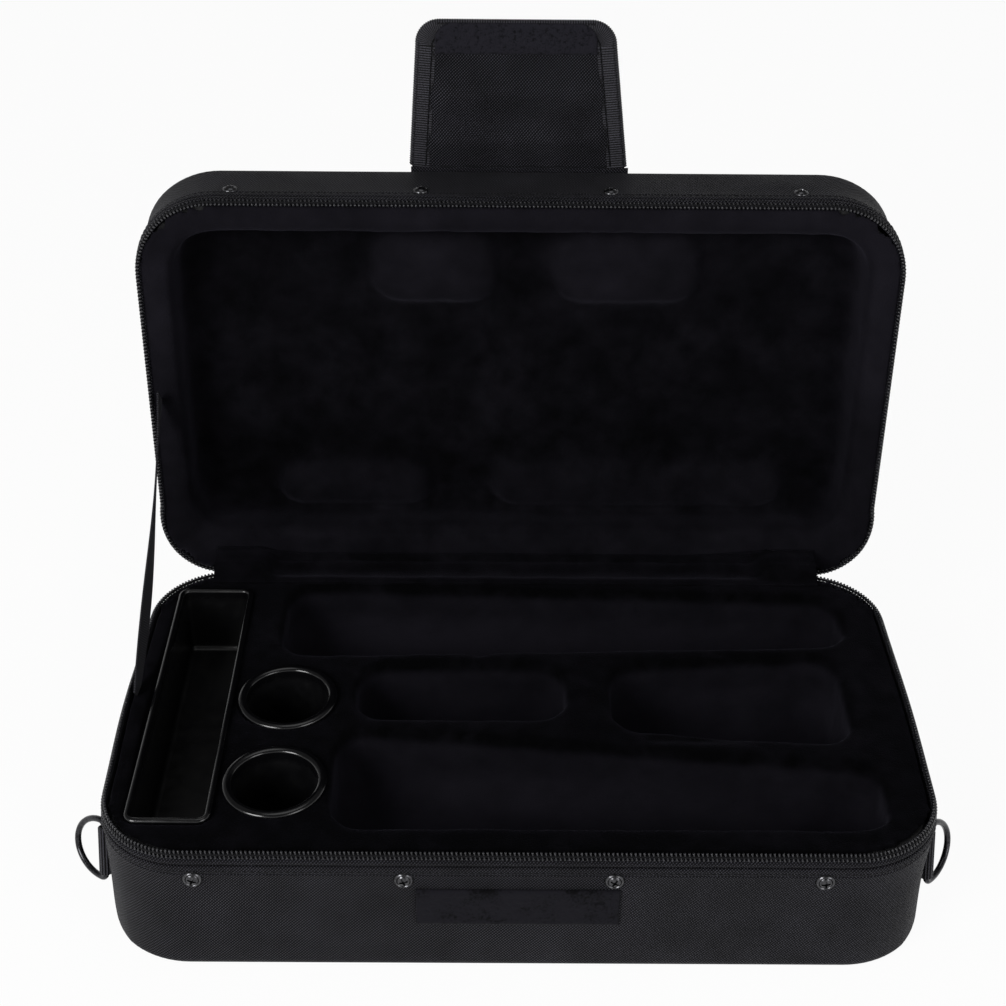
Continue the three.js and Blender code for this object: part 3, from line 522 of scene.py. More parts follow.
fuzzy = fastener(
    "hook_and_loop", (0.007, 0.007, 0.008), ((0.8, 3), (2.2, 2)),
    (0.003, 0.003, 0.004), (0.0125, 0.012, 0.016), 0.7, 1.3, 0.5,
)
loop_pile = fastener(
    "loop_pile", (0.004, 0.004, 0.005), ((1.2, 3), (14, 2)),
    (0.002, 0.002, 0.0025), (0.0085, 0.0082, 0.0108), 0.75, 1.25, 0.4,
)

# %% [markdown]
# ### Foam, wood and board
# These are shut inside the walls, and get their finish all the same, because a part that
# is taken out of the case should still look like itself. The foam is black, with open
# cells; the wood has long grain along the rail; the board is pressed grey fibre.

# %% Foam, wood and board
foam = new_finish("foam_shell", (0.006, 0.006, 0.007), 0.95)
cells = put(foam, "TexVoronoi", {"Vector": case_spot(foam), "Scale": 0.8})
paint(foam, cells, (0.003, 0.003, 0.0035), (0.010, 0.010, 0.011))
raise_surface(foam, cells, 0.3, 0.6)

wood = new_finish("rail_wood", (0.45, 0.27, 0.12), 0.65)
drawn_out = put(wood, "Mapping", {"Vector": case_spot(wood), "Scale": (0.04, 0.9, 0.9)})
grain = put(wood, "TexNoise", {"Vector": drawn_out, "Scale": 1.0, "Detail": 5.0})
paint(wood, grain, (0.30, 0.16, 0.06), (0.55, 0.36, 0.18), 0.3, 0.7)
raise_surface(wood, grain, 0.1, 0.5)

board = new_finish("flap_stiffener", (0.09, 0.085, 0.075), 0.9)
fibres = clouds(board, case_spot(board), 1.5, 5)
paint(board, fibres, (0.06, 0.056, 0.05), (0.13, 0.12, 0.105))
raise_surface(board, fibres, 0.08, 0.5)

# %% [markdown]
# ## Cloth over stuffing
# A stuffed case has no straight wall. Towards the flat panel the front bellies out by two
# millimetres. The open rim flares a little at its sides, and beside the hinge the lid's
# corners are squarer than the others. All pieces that lie on the wall go through the
# same function, so that tape, coil and stitches stay on the cloth.

# %% Where the wall bulges
belly_depth = 2.3
rim_flare = {"base": (1.9, 0.3), "lid": (0.9, 2.6)}
side_flare = (1.3, 2.0)


def soft_step(value):
    value = max(0.0, min(1.0, value))
    return value * value * (3 - 2 * value)


def away_from_middle(point):
    x = max(-flat_half, min(flat_half, point.x))
    y = max(-deep_half, min(deep_half, point.y))
    return Vector((point.x - x, point.y - y, 0))


def square_corner(point, way):
    push = Vector((0, 2.0, 0))
    push *= soft_step((abs(point.x) - 135) / 30) * soft_step((point.y - 60) / 30)
    if point.y > deep_half and abs(point.x) > flat_half:
        push += way * 0.2 * (way.x * way.y * math.copysign(1, point.x) / way.length ** 2)
    return push


def belly(point, way, body):
    foot = cover_top[body] - 4
    front = 0.2 + 0.8 * soft_step((-64 - point.y) / 32)
    depth = belly_depth * front * soft_step((foot - point.z) / foot)
    if body == "lid":
        return way.normalized() * depth
    way = way / max(abs(way.x), abs(way.y))
    return Vector((0.3 * way.x, way.y, 0)) * depth


def flare(point, body):
    side = 0 if point.x > 0 else 1
    reach = rim_flare[body][side]
    share = soft_step((abs(point.x) - 60) / 100)
    if body == "base":
        reach += side_flare[side] * math.exp(-(((point.y + 5) / 50) ** 2))
        share *= soft_step((120 + point.y) / 60)
    top = cover_top[body]
    share *= soft_step((point.z - top * 0.45) / (top * 0.5))
    return math.copysign(reach * share, point.x)


def stuff(bm, body):
    for vert in bm.verts:
        point = vert.co.copy()
        way = away_from_middle(point)
        if way.length > 0.01:
            if body == "lid":
                vert.co += square_corner(point, way)
            vert.co += belly(point, way, body)
        vert.co.x += flare(point, body)


print("belly", belly_depth, "flare of the rims", rim_flare)

# %% [markdown]
# ## The cloth covers
# Each half is a tub of twill, pulled over a stiff shell. Its section runs from the flat
# panel over the welt of the bottom seam, up the wall and over the hem, and back down
# inside. Swept round the outline and capped, that is the whole cover. The caps are inset
# and get their own map, because a face with as many corners as the rim would otherwise
# have a fan instead of a weave. At last the wall is pushed in and out a few tenths.


# %% Covers
def ripple(bm, height, size, where=None):
    bm.normal_update()
    moves = []
    for vert in bm.verts:
        share = where(vert.co) if where else 1
        if share > 0:
            push = share * height * noise.noise(vert.co / size)
            moves.append((vert, vert.normal * push))
    for vert, move in moves:
        vert.co += move


def quarter_turn(centre_x, centre_y, radius, start, end, steps):
    angles = [math.radians(start + (end - start) * k / steps) for k in range(steps + 1)]
    return [(centre_x + radius * math.cos(a), centre_y + radius * math.sin(a)) for a in angles]


def open_edges(bm):
    return [e for e in bm.edges if len(e.link_faces) == 1]


def map_flat(faces, uv):
    for face in faces:
        for corner in face.loops:
            corner[uv].uv = corner.vert.co.xy


def cover_section(top):
    panel = [(-24, 0.2), (-12, 0.1), (-6.6, 0.1), (-6.2, 0.6), (-5.7, 0.6)]
    foot = quarter_turn(-5, 5, 5, -84, 0, 8)
    wall = [(0, 5 + (top - 12) * k / 10) for k in range(1, 11)]
    hem = [(0.02, top - 6.4), (0.34, top - 5.4), (0.2, top - 4.7), (-0.05, top - 4.4)]
    hem += [(0.3, top - 4.0), (0.5, top - 2.6), (0.45, top - 1.0), (0.1, top - 0.2)]
    fold = [(-0.5, top), (-1.1, top - 0.2), (-1.45, top - 0.8), (-1.5, top - 4)]
    inside = [(-1.5, 6)] + quarter_turn(-5, 5, 3.5, 0, -90, 5)[1:]
    return panel + foot + wall + hem + fold + inside + [(-24, 1.7)]


def cover(body, panel):
    top = cover_top[body]
    bm = sweep(cover_section(top), rim_path(case_outline, 0, turns=18), loop=True)
    stuff(bm, body)
    panels = bmesh.ops.holes_fill(bm, edges=open_edges(bm))["faces"]
    rings = bmesh.ops.inset_individual(bm, faces=panels, thickness=2)["faces"]
    map_flat(panels + rings, bm.loops.layers.uv["cloth"])
    bmesh.ops.recalc_face_normals(bm, faces=bm.faces)
    ripple(bm, 0.6, 34, lambda p: max(0.0, min(1.0, (p.z - 3) / 9, (top - 6.5 - p.z) / 9)))
    nodes = (f"{body}_side_cover", panel)
    make_piece(f"{body}_cloth", bm, nylon, body, half_place[body], nodes)


cover("base", "base_bottom_panel")
cover("lid", "lid_top_panel")

# %% [markdown]
# ## The zip
# A coil zip has three parts on each half: the tape, the coil, and the threads that sew
# the coil down over its middle. The tape here is of the same twill as the cover. It
# bulges out between the hem and the coil, and folds over behind the coil, so that no
# light falls between the two.


# %% Zip tape
def zip_tape(body):
    top = coil_top[body] - 2.5
    section = [(-1.8, top - 9.7), (-1.8, top - 5.7), (-1.2, top - 4.9), (-0.2, top - 4.3)]
    section += [(0.15, top - 3.6), (0.1, top - 2.6), (-0.4, top - 1.9), (-1.3, top - 1.1)]
    section += [(-2.1, top + 0.2), (-2.7, top + 0.1), (-2.8, top - 2), (-2.6, top - 9.7)]
    bm = sweep(section, rim_path(case_outline, 0, -zip_run, zip_run), tube=True)
    stuff(bm, body)
    nodes = (f"{body}_zip_tape",)
    make_piece(f"{body}_tape", bm, nylon, body, half_place[body], nodes)


zip_tape("base")
zip_tape("lid")

# %% [markdown]
# The coil is a spiral that stands on its edge here, so that its turns show as small
# upright bars with a shiny head at each end and a waist where the sewing holds them. One
# bar of some forty faces is made from a cone tool set to a straight rod, bevelled at its
# ends and cut twice for the waist, since a real spiral would need many times more.


# %% Turn of the coil
def rod(radius, length, sides, round_off, segments):
    bm = bmesh.new()
    bmesh.ops.create_cone(
        bm, cap_ends=True, segments=sides, radius1=radius, radius2=radius, depth=length
    )
    ends = [e for e in bm.edges if abs(e.verts[0].co.z - e.verts[1].co.z) < 0.01]
    bmesh.ops.bevel(
        bm, geom=ends, offset=round_off, segments=segments, profile=0.5,
        affect="EDGES", material=-1,
    )
    return bm


def as_mesh(bm, name):
    mesh = bpy.data.meshes.new(name)
    bm.to_mesh(mesh)
    bm.free()
    return mesh


def zip_tooth():
    bm = rod(0.66, 3.9, 6, 0.42, 2)
    for height in (-0.9, 0.9):
        everything = bm.verts[:] + bm.edges[:] + bm.faces[:]
        bmesh.ops.bisect_plane(
            bm, geom=everything, plane_co=(0, 0, height), plane_no=(0, 0, 1)
        )
    waist = [v for v in bm.verts if abs(v.co.z) < 1]
    bmesh.ops.scale(bm, vec=(0.75, 0.75, 1), verts=waist)
    bmesh.ops.scale(bm, vec=(1.35, 1, 1), verts=bm.verts)
    return as_mesh(bm, "zip_tooth")


tooth = zip_tooth()
print("one turn of the coil has", len(tooth.polygons), "faces")

# %% [markdown]
# The bars are copied every two millimetres round the rim, leaning outwards a little. The
# two halves start a quarter and three quarters of a step in, so that they mesh when the
# lid is shut. A flat thread band covers their waists.

# %% Coils
coil_pitch, coil_inset = 1.95, 1.3
coil_lean, coil_slant = 0.38, 0.2
first_turn = {"base": 0.25, "lid": 0.75}


def set_down(bm, mesh, place):
    known = len(bm.verts)
    bm.from_mesh(mesh)
    bm.verts.ensure_lookup_table()
    bmesh.ops.transform(bm, matrix=place, verts=bm.verts[known:])


def zip_coil(body):
    bm = bmesh.new()
    count = round(2 * zip_run / coil_pitch)
    lean = Matrix.Rotation(-coil_lean, 4, "Y") @ Matrix.Rotation(coil_slant, 4, "X")
    for i in range(count):
        far = -zip_run + 2 * zip_run * (i + first_turn[body]) / count
        seat, facing = rim_spot(case_outline, far)
        seat += Vector((math.cos(facing), math.sin(facing), 0)) * -coil_inset
        seat.z = coil_top[body] - 1.8
        set_down(bm, tooth, Matrix.Translation(seat) @ Matrix.Rotation(facing, 4, "Z") @ lean)
    stuff(bm, body)
    nodes = (f"{body}_zip_coil",)
    make_piece(f"{body}_coil", bm, coil, body, half_place[body], nodes, crease=60)


def coil_threads(body):
    around = []
    for k in range(12):
        out, up = 0.8 * math.cos(math.pi * k / 6), 0.6 * math.sin(math.pi * k / 6)
        around.append((
            -coil_inset + out * math.cos(coil_lean) - up * math.sin(coil_lean),
            coil_top[body] - 1.8 + out * math.sin(coil_lean) + up * math.cos(coil_lean),
        ))
    bm = sweep(around, rim_path(case_outline, 0, -zip_run, zip_run, step=5), tube=True)
    stuff(bm, body)
    make_piece(f"{body}_coil_threads", bm, thread, body, half_place[body])


for body in ("base", "lid"):
    zip_coil(body)
    coil_threads(body)

# %% [markdown]
# ## Stitches
# A row of stitches is one rounded rod, laid every few millimetres and sunk a little
# into the cloth. Rows of them hold the hem and the seam of the flat panel.

# %% Stitches
stitch = as_mesh(rod(0.24, 2.2, 5, 0.16, 1), "stitch")


def sew(bm, path, pitch=3.1, closed=False):
    points = [Vector(p) for p in path]
    if closed:
        points.append(points[0])
    left = pitch / 2
    for here, there in zip(points, points[1:]):
        gap = (there - here).length
        while left <= gap and gap > 0:
            turn = (there - here).to_track_quat("Z", "Y").to_matrix().to_4x4()
            set_down(bm, stitch, Matrix.Translation(here.lerp(there, left / gap)) @ turn)
            left += pitch
        left -= gap


def hem_stitches(body):
    bm = bmesh.new()
    wide = (376.9, 212.9, 40.45, 0, 0)
    sew(bm, rim_path(wide, cover_top[body] - 3.0, step=20), closed=True)
    low = (366.8, 202.8, 35.4, 0, 0)
    sew(bm, rim_path(low, 0.15, step=20), closed=True)
    stuff(bm, body)
    name = f"{body}_hem_stitches"
    make_piece(name, bm, thread, body, half_place[body], crease=60)


hem_stitches("base")
hem_stitches("lid")

# %% [markdown]
# ## The padding
# The base is filled with a foam block under plush, with a well for each joint of the
# instrument, and the lid with a panel that has four raised pads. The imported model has
# these forms with crisp corners. A copy is remeshed into small even squares, which are
# then smoothed, so that edges turn soft as pile does, and pushed about a little.


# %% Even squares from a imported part
def copy_of(node):
    bm = bmesh.new()
    bm.from_mesh(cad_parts[node].data)
    bmesh.ops.scale(bm, vec=(1000, 1000, 1000), verts=bm.verts)
    bmesh.ops.remove_doubles(bm, verts=bm.verts, dist=0.001)
    return bm


def remeshed(bm, voxel):
    holder = bpy.data.objects.new("padding", as_mesh(bm, "padding"))
    bpy.context.scene.collection.objects.link(holder)
    modifier = holder.modifiers.new("even", "REMESH")
    modifier.mode, modifier.voxel_size = "VOXEL", voxel
    view = bpy.context.evaluated_depsgraph_get()
    result = bmesh.new()
    result.from_mesh(bpy.data.meshes.new_from_object(holder.evaluated_get(view)))
    bpy.data.objects.remove(holder)
    return result


# %% [markdown]
# A crease is a short line that pulls the pile down, deepest in its middle. The soft
# area is smoothed more often than the rest. At the rim a lip of plush is pushed out to
# the wall and lifted in the corners, so that nothing behind it shows.

# %% Soft block
pile_square = 1.8


def crease_along(start, end, width, depth):
    start, end = Vector(start), Vector(end)
    way = end - start

    def push(p):
        share = max(0.0, min(1.0, (p - start).dot(way) / way.length_squared))
        gap = (p - start - way * share).length
        return -depth * math.exp(-((gap / width) ** 2)) * math.sin(math.pi * min(1, share + 0.15))

    return push


def pile_move(vert, body, creases):
    p = vert.co
    push = 0.5 * noise.noise(p / 19) + 0.25 * noise.noise(p / 7) + 0.1 * noise.noise(p / 3)
    push += sum(crease(p) for crease in creases)
    way = away_from_middle(p)
    lip = soft_step((way.length - 33) / 2) * soft_step((p.z - cover_top[body] - 2) / 1.5)
    corner = soft_step((abs(p.x) - 150) / 12) * soft_step((abs(p.y) - 68) / 12)
    lift = Vector((0, 0, (0.2 + 1.2 * corner) * lip))
    return vert.normal * push * (1 - lip) + way.normalized() * 2.0 * lip + lift


def plush_block(body, node, soft_area, passes, creases, wear_and_painted_light):
    bm = copy_of(node)
    bmesh.ops.transform(bm, matrix=half_place[body].inverted(), verts=bm.verts)
    bm = remeshed(bm, pile_square)
    for turn in range(3 + passes):
        soft = [v for v in bm.verts if turn < 3 or soft_area(v.co)]
        bmesh.ops.smooth_vert(
            bm, verts=soft, factor=0.5, use_axis_x=True, use_axis_y=True, use_axis_z=True
        )
    bm.normal_update()
    # The layer holds wear together with painted light and shade, from the function given.
    nap = bm.verts.layers.float.new("wear_and_painted_light")
    for vert in bm.verts:
        vert[nap] = wear_and_painted_light(vert.co)
    moves = [(vert, pile_move(vert, body, creases)) for vert in bm.verts]
    for vert, move in moves:
        vert.co += move
    stuff(bm, body)
    name, place = f"{body}_plush", half_place[body]
    piece = make_piece(name, bm, plush, body, place, (node,), crease=180)


# %% Plush of the base
def base_soft(p):
    return 40 < p.z and -84 < p.x < 178 and abs(p.y) < 96


# Lighter in the wells than on the top of the block, more so in the rear wells and at the right end: partly
# wear, partly painted light where the front light falls.
def base_wear_and_painted_light(p):
    under_edge = 0.58 * soft_step((65 - p.z) / 6)
    in_wells = (0.36 + 0.2 * soft_step((p.y - 40) / 15)) * soft_step((54 - p.z) / 16)
    return under_edge + in_wells + 0.06 * soft_step((p.x - 150) / 20) - 0.12


plush_block(
    "base", "base_insert", base_soft, 5,
    [
        crease_along((0, -30, 66), (14, -38, 66), 3.5, 2.2),
        crease_along((62, -27, 67), (120, -27, 67), 3.2, 1.6),
        crease_along((-18, 43, 66), (-12, 36, 66), 6, 1.8),
        crease_along((96, 38, 66), (132, 33, 66), 3, 1.2),
    ],
    base_wear_and_painted_light,
)


# %% Plush of the lid
def lid_soft(p):
    return abs(p.x) < 172 and -92 < p.y < 84 and p.z > 9


# Pads lighter, partly as wear and partly as painted light; painted light and shade across the panel: lighter
# towards the front edge and the end at negative x, darker towards the hinge.
def lid_wear_and_painted_light(p):
    patches = (0.56 + 0.2 * noise.noise(p / 40)) * soft_step((p.z - 9) / 16)
    towards_front = 0.7 + 0.4 * soft_step((60 - p.y) / 120)
    towards_left = 1 + 0.35 * soft_step((-p.x - 60) / 100)
    return patches * towards_front * towards_left - 0.09 * soft_step((p.y - 10) / 50)


plush_block(
    "lid", "lid_lining", lid_soft, 10,
    [
        crease_along((120, 79.5, 36), (-110, 81.5, 36), 3.2, 1.6),
        crease_along((70, 87.5, 36), (-150, 86.5, 36), 2.6, 1.3),
    ],
    lid_wear_and_painted_light,
)

# %% [markdown]
# ## Tray
# The tray is a long moulded box that stands in its well, with a thin rolled rim. It is
# the same kind of sweep as the cover. The section ends inside the corner's radius, where
# its points fall together, so they are merged before the two floors are filled in.


# %% Tray
def rolled_rim(centre, top, half_wide, half_high, steps):
    angles = [math.pi * k / steps for k in range(steps + 1)]
    return [
        (centre + half_wide * math.cos(a), top - half_high + (half_high * math.sin(a)))
        for a in angles
    ]


def tray_piece():
    low, high = (corner * 1000 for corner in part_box("accessory_tray"))
    middle, size = (low + high) / 2, high - low
    outline = (size.x, size.y, 6, middle.x, middle.y)
    foot, top = low.z, high.z
    section = [(-5.8, foot)] + quarter_turn(-3.9, foot + 2.5, 2.5, -90, 0, 4)
    section += [(-1.4, top - 2.3), (-0.4, top - 2.2)] + rolled_rim(-1.5, top, 1.5, 1.5, 10)
    section += [(-3.0, top - 3), (-3.1, foot + 6)]
    section += quarter_turn(-5.8, foot + 4.2, 2.7, 0, -90, 6)
    bm = sweep(section, rim_path(outline, 0, step=12, turns=8), loop=True)
    brim = [v for v in bm.verts if v.is_boundary]
    bmesh.ops.remove_doubles(bm, verts=brim, dist=0.4)
    floors = bmesh.ops.holes_fill(bm, edges=open_edges(bm))["faces"]
    bmesh.ops.inset_individual(bm, faces=floors, thickness=0.6)
    bmesh.ops.recalc_face_normals(bm, faces=bm.faces)
    make_piece("tray", bm, moulded, "base", instead_of=("accessory_tray",))


tray_piece()

# %% [markdown]
# ## Cups
# The two cups are turned: half a section is drawn and spun once round, and the rim is a
# small rolled ring that rests on the plush.


# %% Cups
def spin_round(bm, verts, edges, centre, steps):
    bmesh.ops.spin(
        bm, geom=verts + edges, cent=centre, axis=(0, 0, 1),
        angle=2 * math.pi, steps=steps, use_merge=True,
    )


def cup_piece(name, node):
    low, high = (corner * 1000 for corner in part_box(node))
    middle, radius = (low + high) / 2, (high.x - low.x) / 2
    foot, top = low.z, high.z
    profile = [(0, foot), (radius - 7, foot)]
    profile += quarter_turn(radius - 5.9, foot + 2, 2, -70, 0, 4)
    profile += [(radius - 3.6, top - 2.2), (radius - 0.5, top - 2.1)]
    profile += rolled_rim(radius - 2.2, top, 2.2, 1.6, 12)
    profile += [(radius - 4.7, top - 4), (radius - 5.3, foot + 4)]
    profile += quarter_turn(radius - 7.2, foot + 3.5, 1.9, 0, -90, 4) + [(0, foot + 1.5)]
    bm = bmesh.new()
    verts = [bm.verts.new((middle.x + x, middle.y, z)) for x, z in profile]
    edges = [bm.edges.new(pair) for pair in zip(verts, verts[1:])]
    spin_round(bm, verts, edges, (middle.x, middle.y, 0), 56)
    bmesh.ops.remove_doubles(bm, verts=bm.verts, dist=0.004)
    bmesh.ops.recalc_face_normals(bm, faces=bm.faces)
    make_piece(name, bm, moulded, "base", instead_of=(node,))


cup_piece("cup_rear", "rear_cup")
cup_piece("cup_front", "front_cup")

# %% [markdown]
# ## Screws in cup washers
# Four screws along each front wall hold the wooden rail. The head starts as a grid of
# squares, because its cross recess is easy there: the middle cells are pushed down and
# narrowed. The grid's outline is then drawn out to a circle and domed.


# %% Screw head
def in_cross(face):
    x, y = (abs(value) for value in face.calc_center_median().xy)
    return min(x, y) < 0.2 and max(x, y) < 0.68


def screw_mesh():
    bm = bmesh.new()
    bmesh.ops.create_grid(bm, x_segments=12, y_segments=12, size=1)
    cross = [f for f in bm.faces if in_cross(f)]
    for vert in bm.verts:
        x, y = vert.co.x, vert.co.y
        vert.co.x, vert.co.y = x * math.sqrt(1 - y * y / 2), y * math.sqrt(1 - x * x / 2)
        vert.co.z = 0.95 * math.sqrt(max(0.0, 1.04 - vert.co.x ** 2 - vert.co.y ** 2))
    sunk = bmesh.ops.extrude_face_region(bm, geom=cross)["geom"]
    floor = [g for g in sunk if isinstance(g, bmesh.types.BMVert)]
    bmesh.ops.delete(bm, geom=cross, context="FACES_ONLY")
    bmesh.ops.scale(bm, vec=(0.8, 0.8, 1), verts=floor)
    bmesh.ops.translate(bm, vec=(0, 0, -0.8), verts=floor)
    bmesh.ops.scale(bm, vec=(3.0, 3.0, 1.5), verts=bm.verts)
    skirt = bmesh.ops.extrude_edge_only(bm, edges=open_edges(bm))["geom"]
    lower = [g for g in skirt if isinstance(g, bmesh.types.BMVert)]
    bmesh.ops.translate(bm, vec=(0, 0, -2.4), verts=lower)
    return bm


# %% [markdown]
# The cup washer is a small turned ring. Those of the lid are set deeper in the cloth, so
# less of them shows, and they are made smaller. Each screw stops at another angle, as
# screws do.

# %% Rows of screws
screw_height = {"base": 53.0, "lid": 24.0}
washer_size = {"base": 1.0, "lid": 0.84}


def washer_mesh(size):
    bm = bmesh.new()
    rim = [(4.3, -0.9), (4.5, -0.5), (4.35, 0.0), (3.9, 0.65), (3.5, 0.85), (3.2, 0.7), (2.9, 0.2)]
    profile = [(2.2, -0.9)] + [(x * size, z) for x, z in rim] + [(2.2, -0.3)]
    verts = [bm.verts.new((x, 0, z)) for x, z in profile]
    edges = [bm.edges.new(pair) for pair in zip(verts, verts[1:] + verts[:1])]
    spin_round(bm, verts, edges, (0, 0, 0), 32)
    return bm


def screw_row(body):
    for i in range(1, 5):
        low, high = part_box(f"{body}_washer_{i}")
        middle = half_place[body].inverted() @ ((low + high) * 500)
        seat = Matrix.Translation((middle.x, -case_width / 2 - 0.5, screw_height[body]))
        place = half_place[body] @ seat @ Matrix.Rotation(math.pi / 2, 4, "X")
        head, cup = screw_mesh(), washer_mesh(washer_size[body])
        turn = Matrix.Rotation(0.5 + 0.7 * i, 3, "Z")
        bmesh.ops.rotate(head, matrix=turn, verts=head.verts)
        for kind, bm, node in (("screw_head", head, "screw"), ("cup_washer", cup, "washer")):
            bmesh.ops.recalc_face_normals(bm, faces=bm.faces)
            name, nodes = f"{body}_{kind}_{i}", (f"{body}_{node}_{i}",)
            make_piece(name, bm, plated, body, place, nodes)


screw_row("base")
screw_row("lid")

# %% [markdown]
# ## Strap rings
# At each side a loop of webbing holds a wire ring for a shoulder strap. The ring is a
# straight bar closed by a bow, bent from round wire, so a small circle is swept along
# that line. It swivels by itself, so it rides on its own body.

# %% Rings
bar_half, bend_radius, bow_reach, wire_radius = 11.1, 3.0, 17.6, 1.5


def wire_line():
    bar = [(0, -bar_half + 2 * bar_half * k / 6) for k in range(7)]
    bend = [
        (bend_radius * (1 - math.cos(a)), bar_half + bend_radius * math.sin(a))
        for a in (math.radians(18 * k) for k in range(1, 6))
    ]
    bow = [
        (bend_radius + bow_reach * math.sin(a), (bar_half + bend_radius) * math.cos(a))
        for a in (math.pi * k / 28 for k in range(1, 28))
    ]
    return bar + bend + bow + [(x, -z) for x, z in reversed(bend)]


def corner_place(side):
    seat = Matrix.Translation((side * 191.5, -64, 29))
    return seat @ Matrix.Rotation(math.radians(-22), 4, "X")


def ring_piece(side, name, turn):
    line = [(side * x, 0, z) for x, z in wire_line()]
    wire = quarter_turn(0, 0, wire_radius, 0, 360, 12)[:-1]
    bm = sweep(wire, line, up=(0, 1, 0), loop=True, tube=True)
    place = corner_place(side) @ Matrix.Rotation(math.radians(side * turn), 4, "Z")
    nodes = (f"strap_ring_{name}",)
    make_piece(f"ring_{name}", bm, dark_metal, f"{name}_ring", place, nodes)


# %% [markdown]
# The tab is a band of webbing that lies on the wall, goes round the ring's bar and comes
# back down. A box with a cross in it is sewn through both layers, as on every strap that
# has to carry weight.


# %% Tabs of the rings
def band(half_wide, half_high, corner_wide, corner_high):
    wide, high = half_wide - corner_wide, half_high - corner_high
    right_side = [(wide, half_high), (half_wide, high), (half_wide, -high), (wide, -half_high)]
    left_side = [(-half_wide, -high), (-half_wide, high), (-wide, half_high)]
    return left_side + right_side + [(-wide, -half_high)]


def tab_piece(side, name):
    line = [(2.55, y) for y in (24, 18, 12, 7, 3)] + quarter_turn(0, 0, 2.55, 0, -195, 13)
    line += [(-0.9, 4.4), (0.35, 6.4), (1.15, 8.6), (1.22, 12), (1.22, 18), (1.22, 24)]
    bm = sweep(band(0.6, 11.5, 0.3, 0.4), [(-side * x, y, 0) for x, y in line], tube=True)
    nodes = (f"ring_tab_{name}",)
    make_piece(f"tab_{name}", bm, webbing, "base", corner_place(side), nodes)
    bm = bmesh.new()
    box = [(-side * 0.55, y, z) for y, z in ((10, -9), (10, 9), (22, 9), (22, -9))]
    sew(bm, box, 2.8, closed=True)
    sew(bm, [box[0], box[2]], 2.8)
    sew(bm, [box[1], box[3]], 2.8)
    name = f"tab_{name}_stitches"
    make_piece(name, bm, thread, "base", corner_place(side), crease=60)


for side, name, turn in ((-1, "left", 40), (1, "right", 50)):
    ring_piece(side, name, turn)
    tab_piece(side, name)

# %% [markdown]
# ## The flap
# The flap is two cloths on a board, with a ribbed tape bound round the edge. It leans a
# little to the left as it stands, so the lid's place is sheared for it. The cloth starts
# as a grid, drawn in towards the free end and cut across its corners, where the binding
# hides it, and has slow waves in it that die out at the edges.

# %% Flap sizes, in the lid's own frame
flap_start, flap_end, flap_corner = -109.9, -182.5, 12
flap_root_half, flap_end_half = 54, 48.5
binding_top, inner_top = -0.3, -1.2
outer_top, binding_foot = -3.4, -5.1
lean_to_left = Matrix(((1, -0.0274, 0, -2.311), (0, 1, 0, 0), (0, 0, 1, 0), (0, 0, 0, 1)))
flap_place = lid_place @ lean_to_left
print("flap", flap_start - flap_end, "long", 2 * flap_root_half, "wide at its root")


# %% Flap cloth
def flap_half(y):
    share = (y - flap_start) / (flap_end + 16 - flap_start)
    return flap_root_half + (flap_end_half - flap_root_half) * share


def cloth_wave(x, y):
    wave = math.cos(2 * math.pi * (-y - 120.5 + 1.5 * math.sin(x / 26)) / 25.8)
    wave += 0.5 + 0.6 * noise.noise(Vector((x, y, 3)) / 21)
    at_sides = max(0, (flap_half(y) - abs(x) - 8) / 6)
    at_end = max(0, (y - flap_end - 14) / 8)
    return wave * min(1, at_sides, at_end) * soft_step((flap_start - 3 - y) / 12)


def flap_cloth(name, top, node, wave, side):
    bm = bmesh.new()
    uv = bm.loops.layers.uv.new("cloth")
    bmesh.ops.create_grid(bm, x_segments=60, y_segments=44, size=1)
    for vert in bm.verts:
        y = flap_start + (flap_end + 1 - flap_start) * (1 - vert.co.y) / 2
        x = vert.co.x * (flap_half(y) - 1.2)
        vert.co = Vector((x, y, top + side * wave * cloth_wave(x, y)))
    for across in (-1, 1):
        everything = bm.verts[:] + bm.edges[:] + bm.faces[:]
        corner = (across * (flap_end_half - 6), flap_end + 6, top)
        bmesh.ops.bisect_plane(
            bm, geom=everything, plane_co=corner, plane_no=(across, -1, 0), clear_outer=True
        )
    map_flat(bm.faces, uv)
    bmesh.ops.recalc_face_normals(bm, faces=bm.faces)
    bmesh.ops.solidify(bm, geom=bm.faces[:], thickness=0.7 * side)
    bmesh.ops.recalc_face_normals(bm, faces=bm.faces)
    make_piece(name, bm, nylon, "flap", flap_place, (node,))


flap_cloth("flap_inner", inner_top, "flap_inner_cloth", 1.6, 1)
flap_cloth("flap_outer", outer_top - 0.1, "flap_outer_cloth", 0.3, -1)

# %% [markdown]
# The binding's ribs are real here, because its edge is seen against the white of the
# room. The line round the flap has a station every third of a millimetre, and each
# point of the section is raised and sunk along its own normal as the ribs go by.

# %% Flap binding
rib_pitch, rib_height = 1.2, 0.22


def flap_edge(margin=0.0):
    root, end = flap_root_half - margin, flap_end_half - margin
    tip, corner = flap_end + margin, flap_corner - margin
    straight_end = Vector((-end, tip + corner, 0))
    half = [Vector((-root, flap_start, 0)).lerp(straight_end, k / 250) for k in range(250)]
    turn = quarter_turn(-end + corner, tip + corner, corner, 180, 270, 70)
    half += [Vector((x, y, 0)) for x, y in turn]
    span = 2 * half[-1].x
    across = [half[-1] + Vector((-span * k / 300, 0, 0)) for k in range(1, 300)]
    return half + across + [Vector((-p.x, p.y, 0)) for p in reversed(half)]


def binding_section():
    top, foot = binding_top, binding_foot
    half_thick, middle = (top - foot) / 2, (top + foot) / 2
    section = [(-10, top - 0.65), (-10, top - 0.1), (-9.7, top), (-8.6, top)]
    section += [(-8.1, top - 0.3), (-7.6, top), (-3, top)]
    section += quarter_turn(-half_thick, middle, half_thick, 90, -90, 8)
    section += [(-6, foot), (-9.7, foot), (-10, foot + 0.1), (-10, foot + 0.65)]
    return section + [(-3, foot + 0.65), (-1.3, middle), (-3, top - 0.65)]


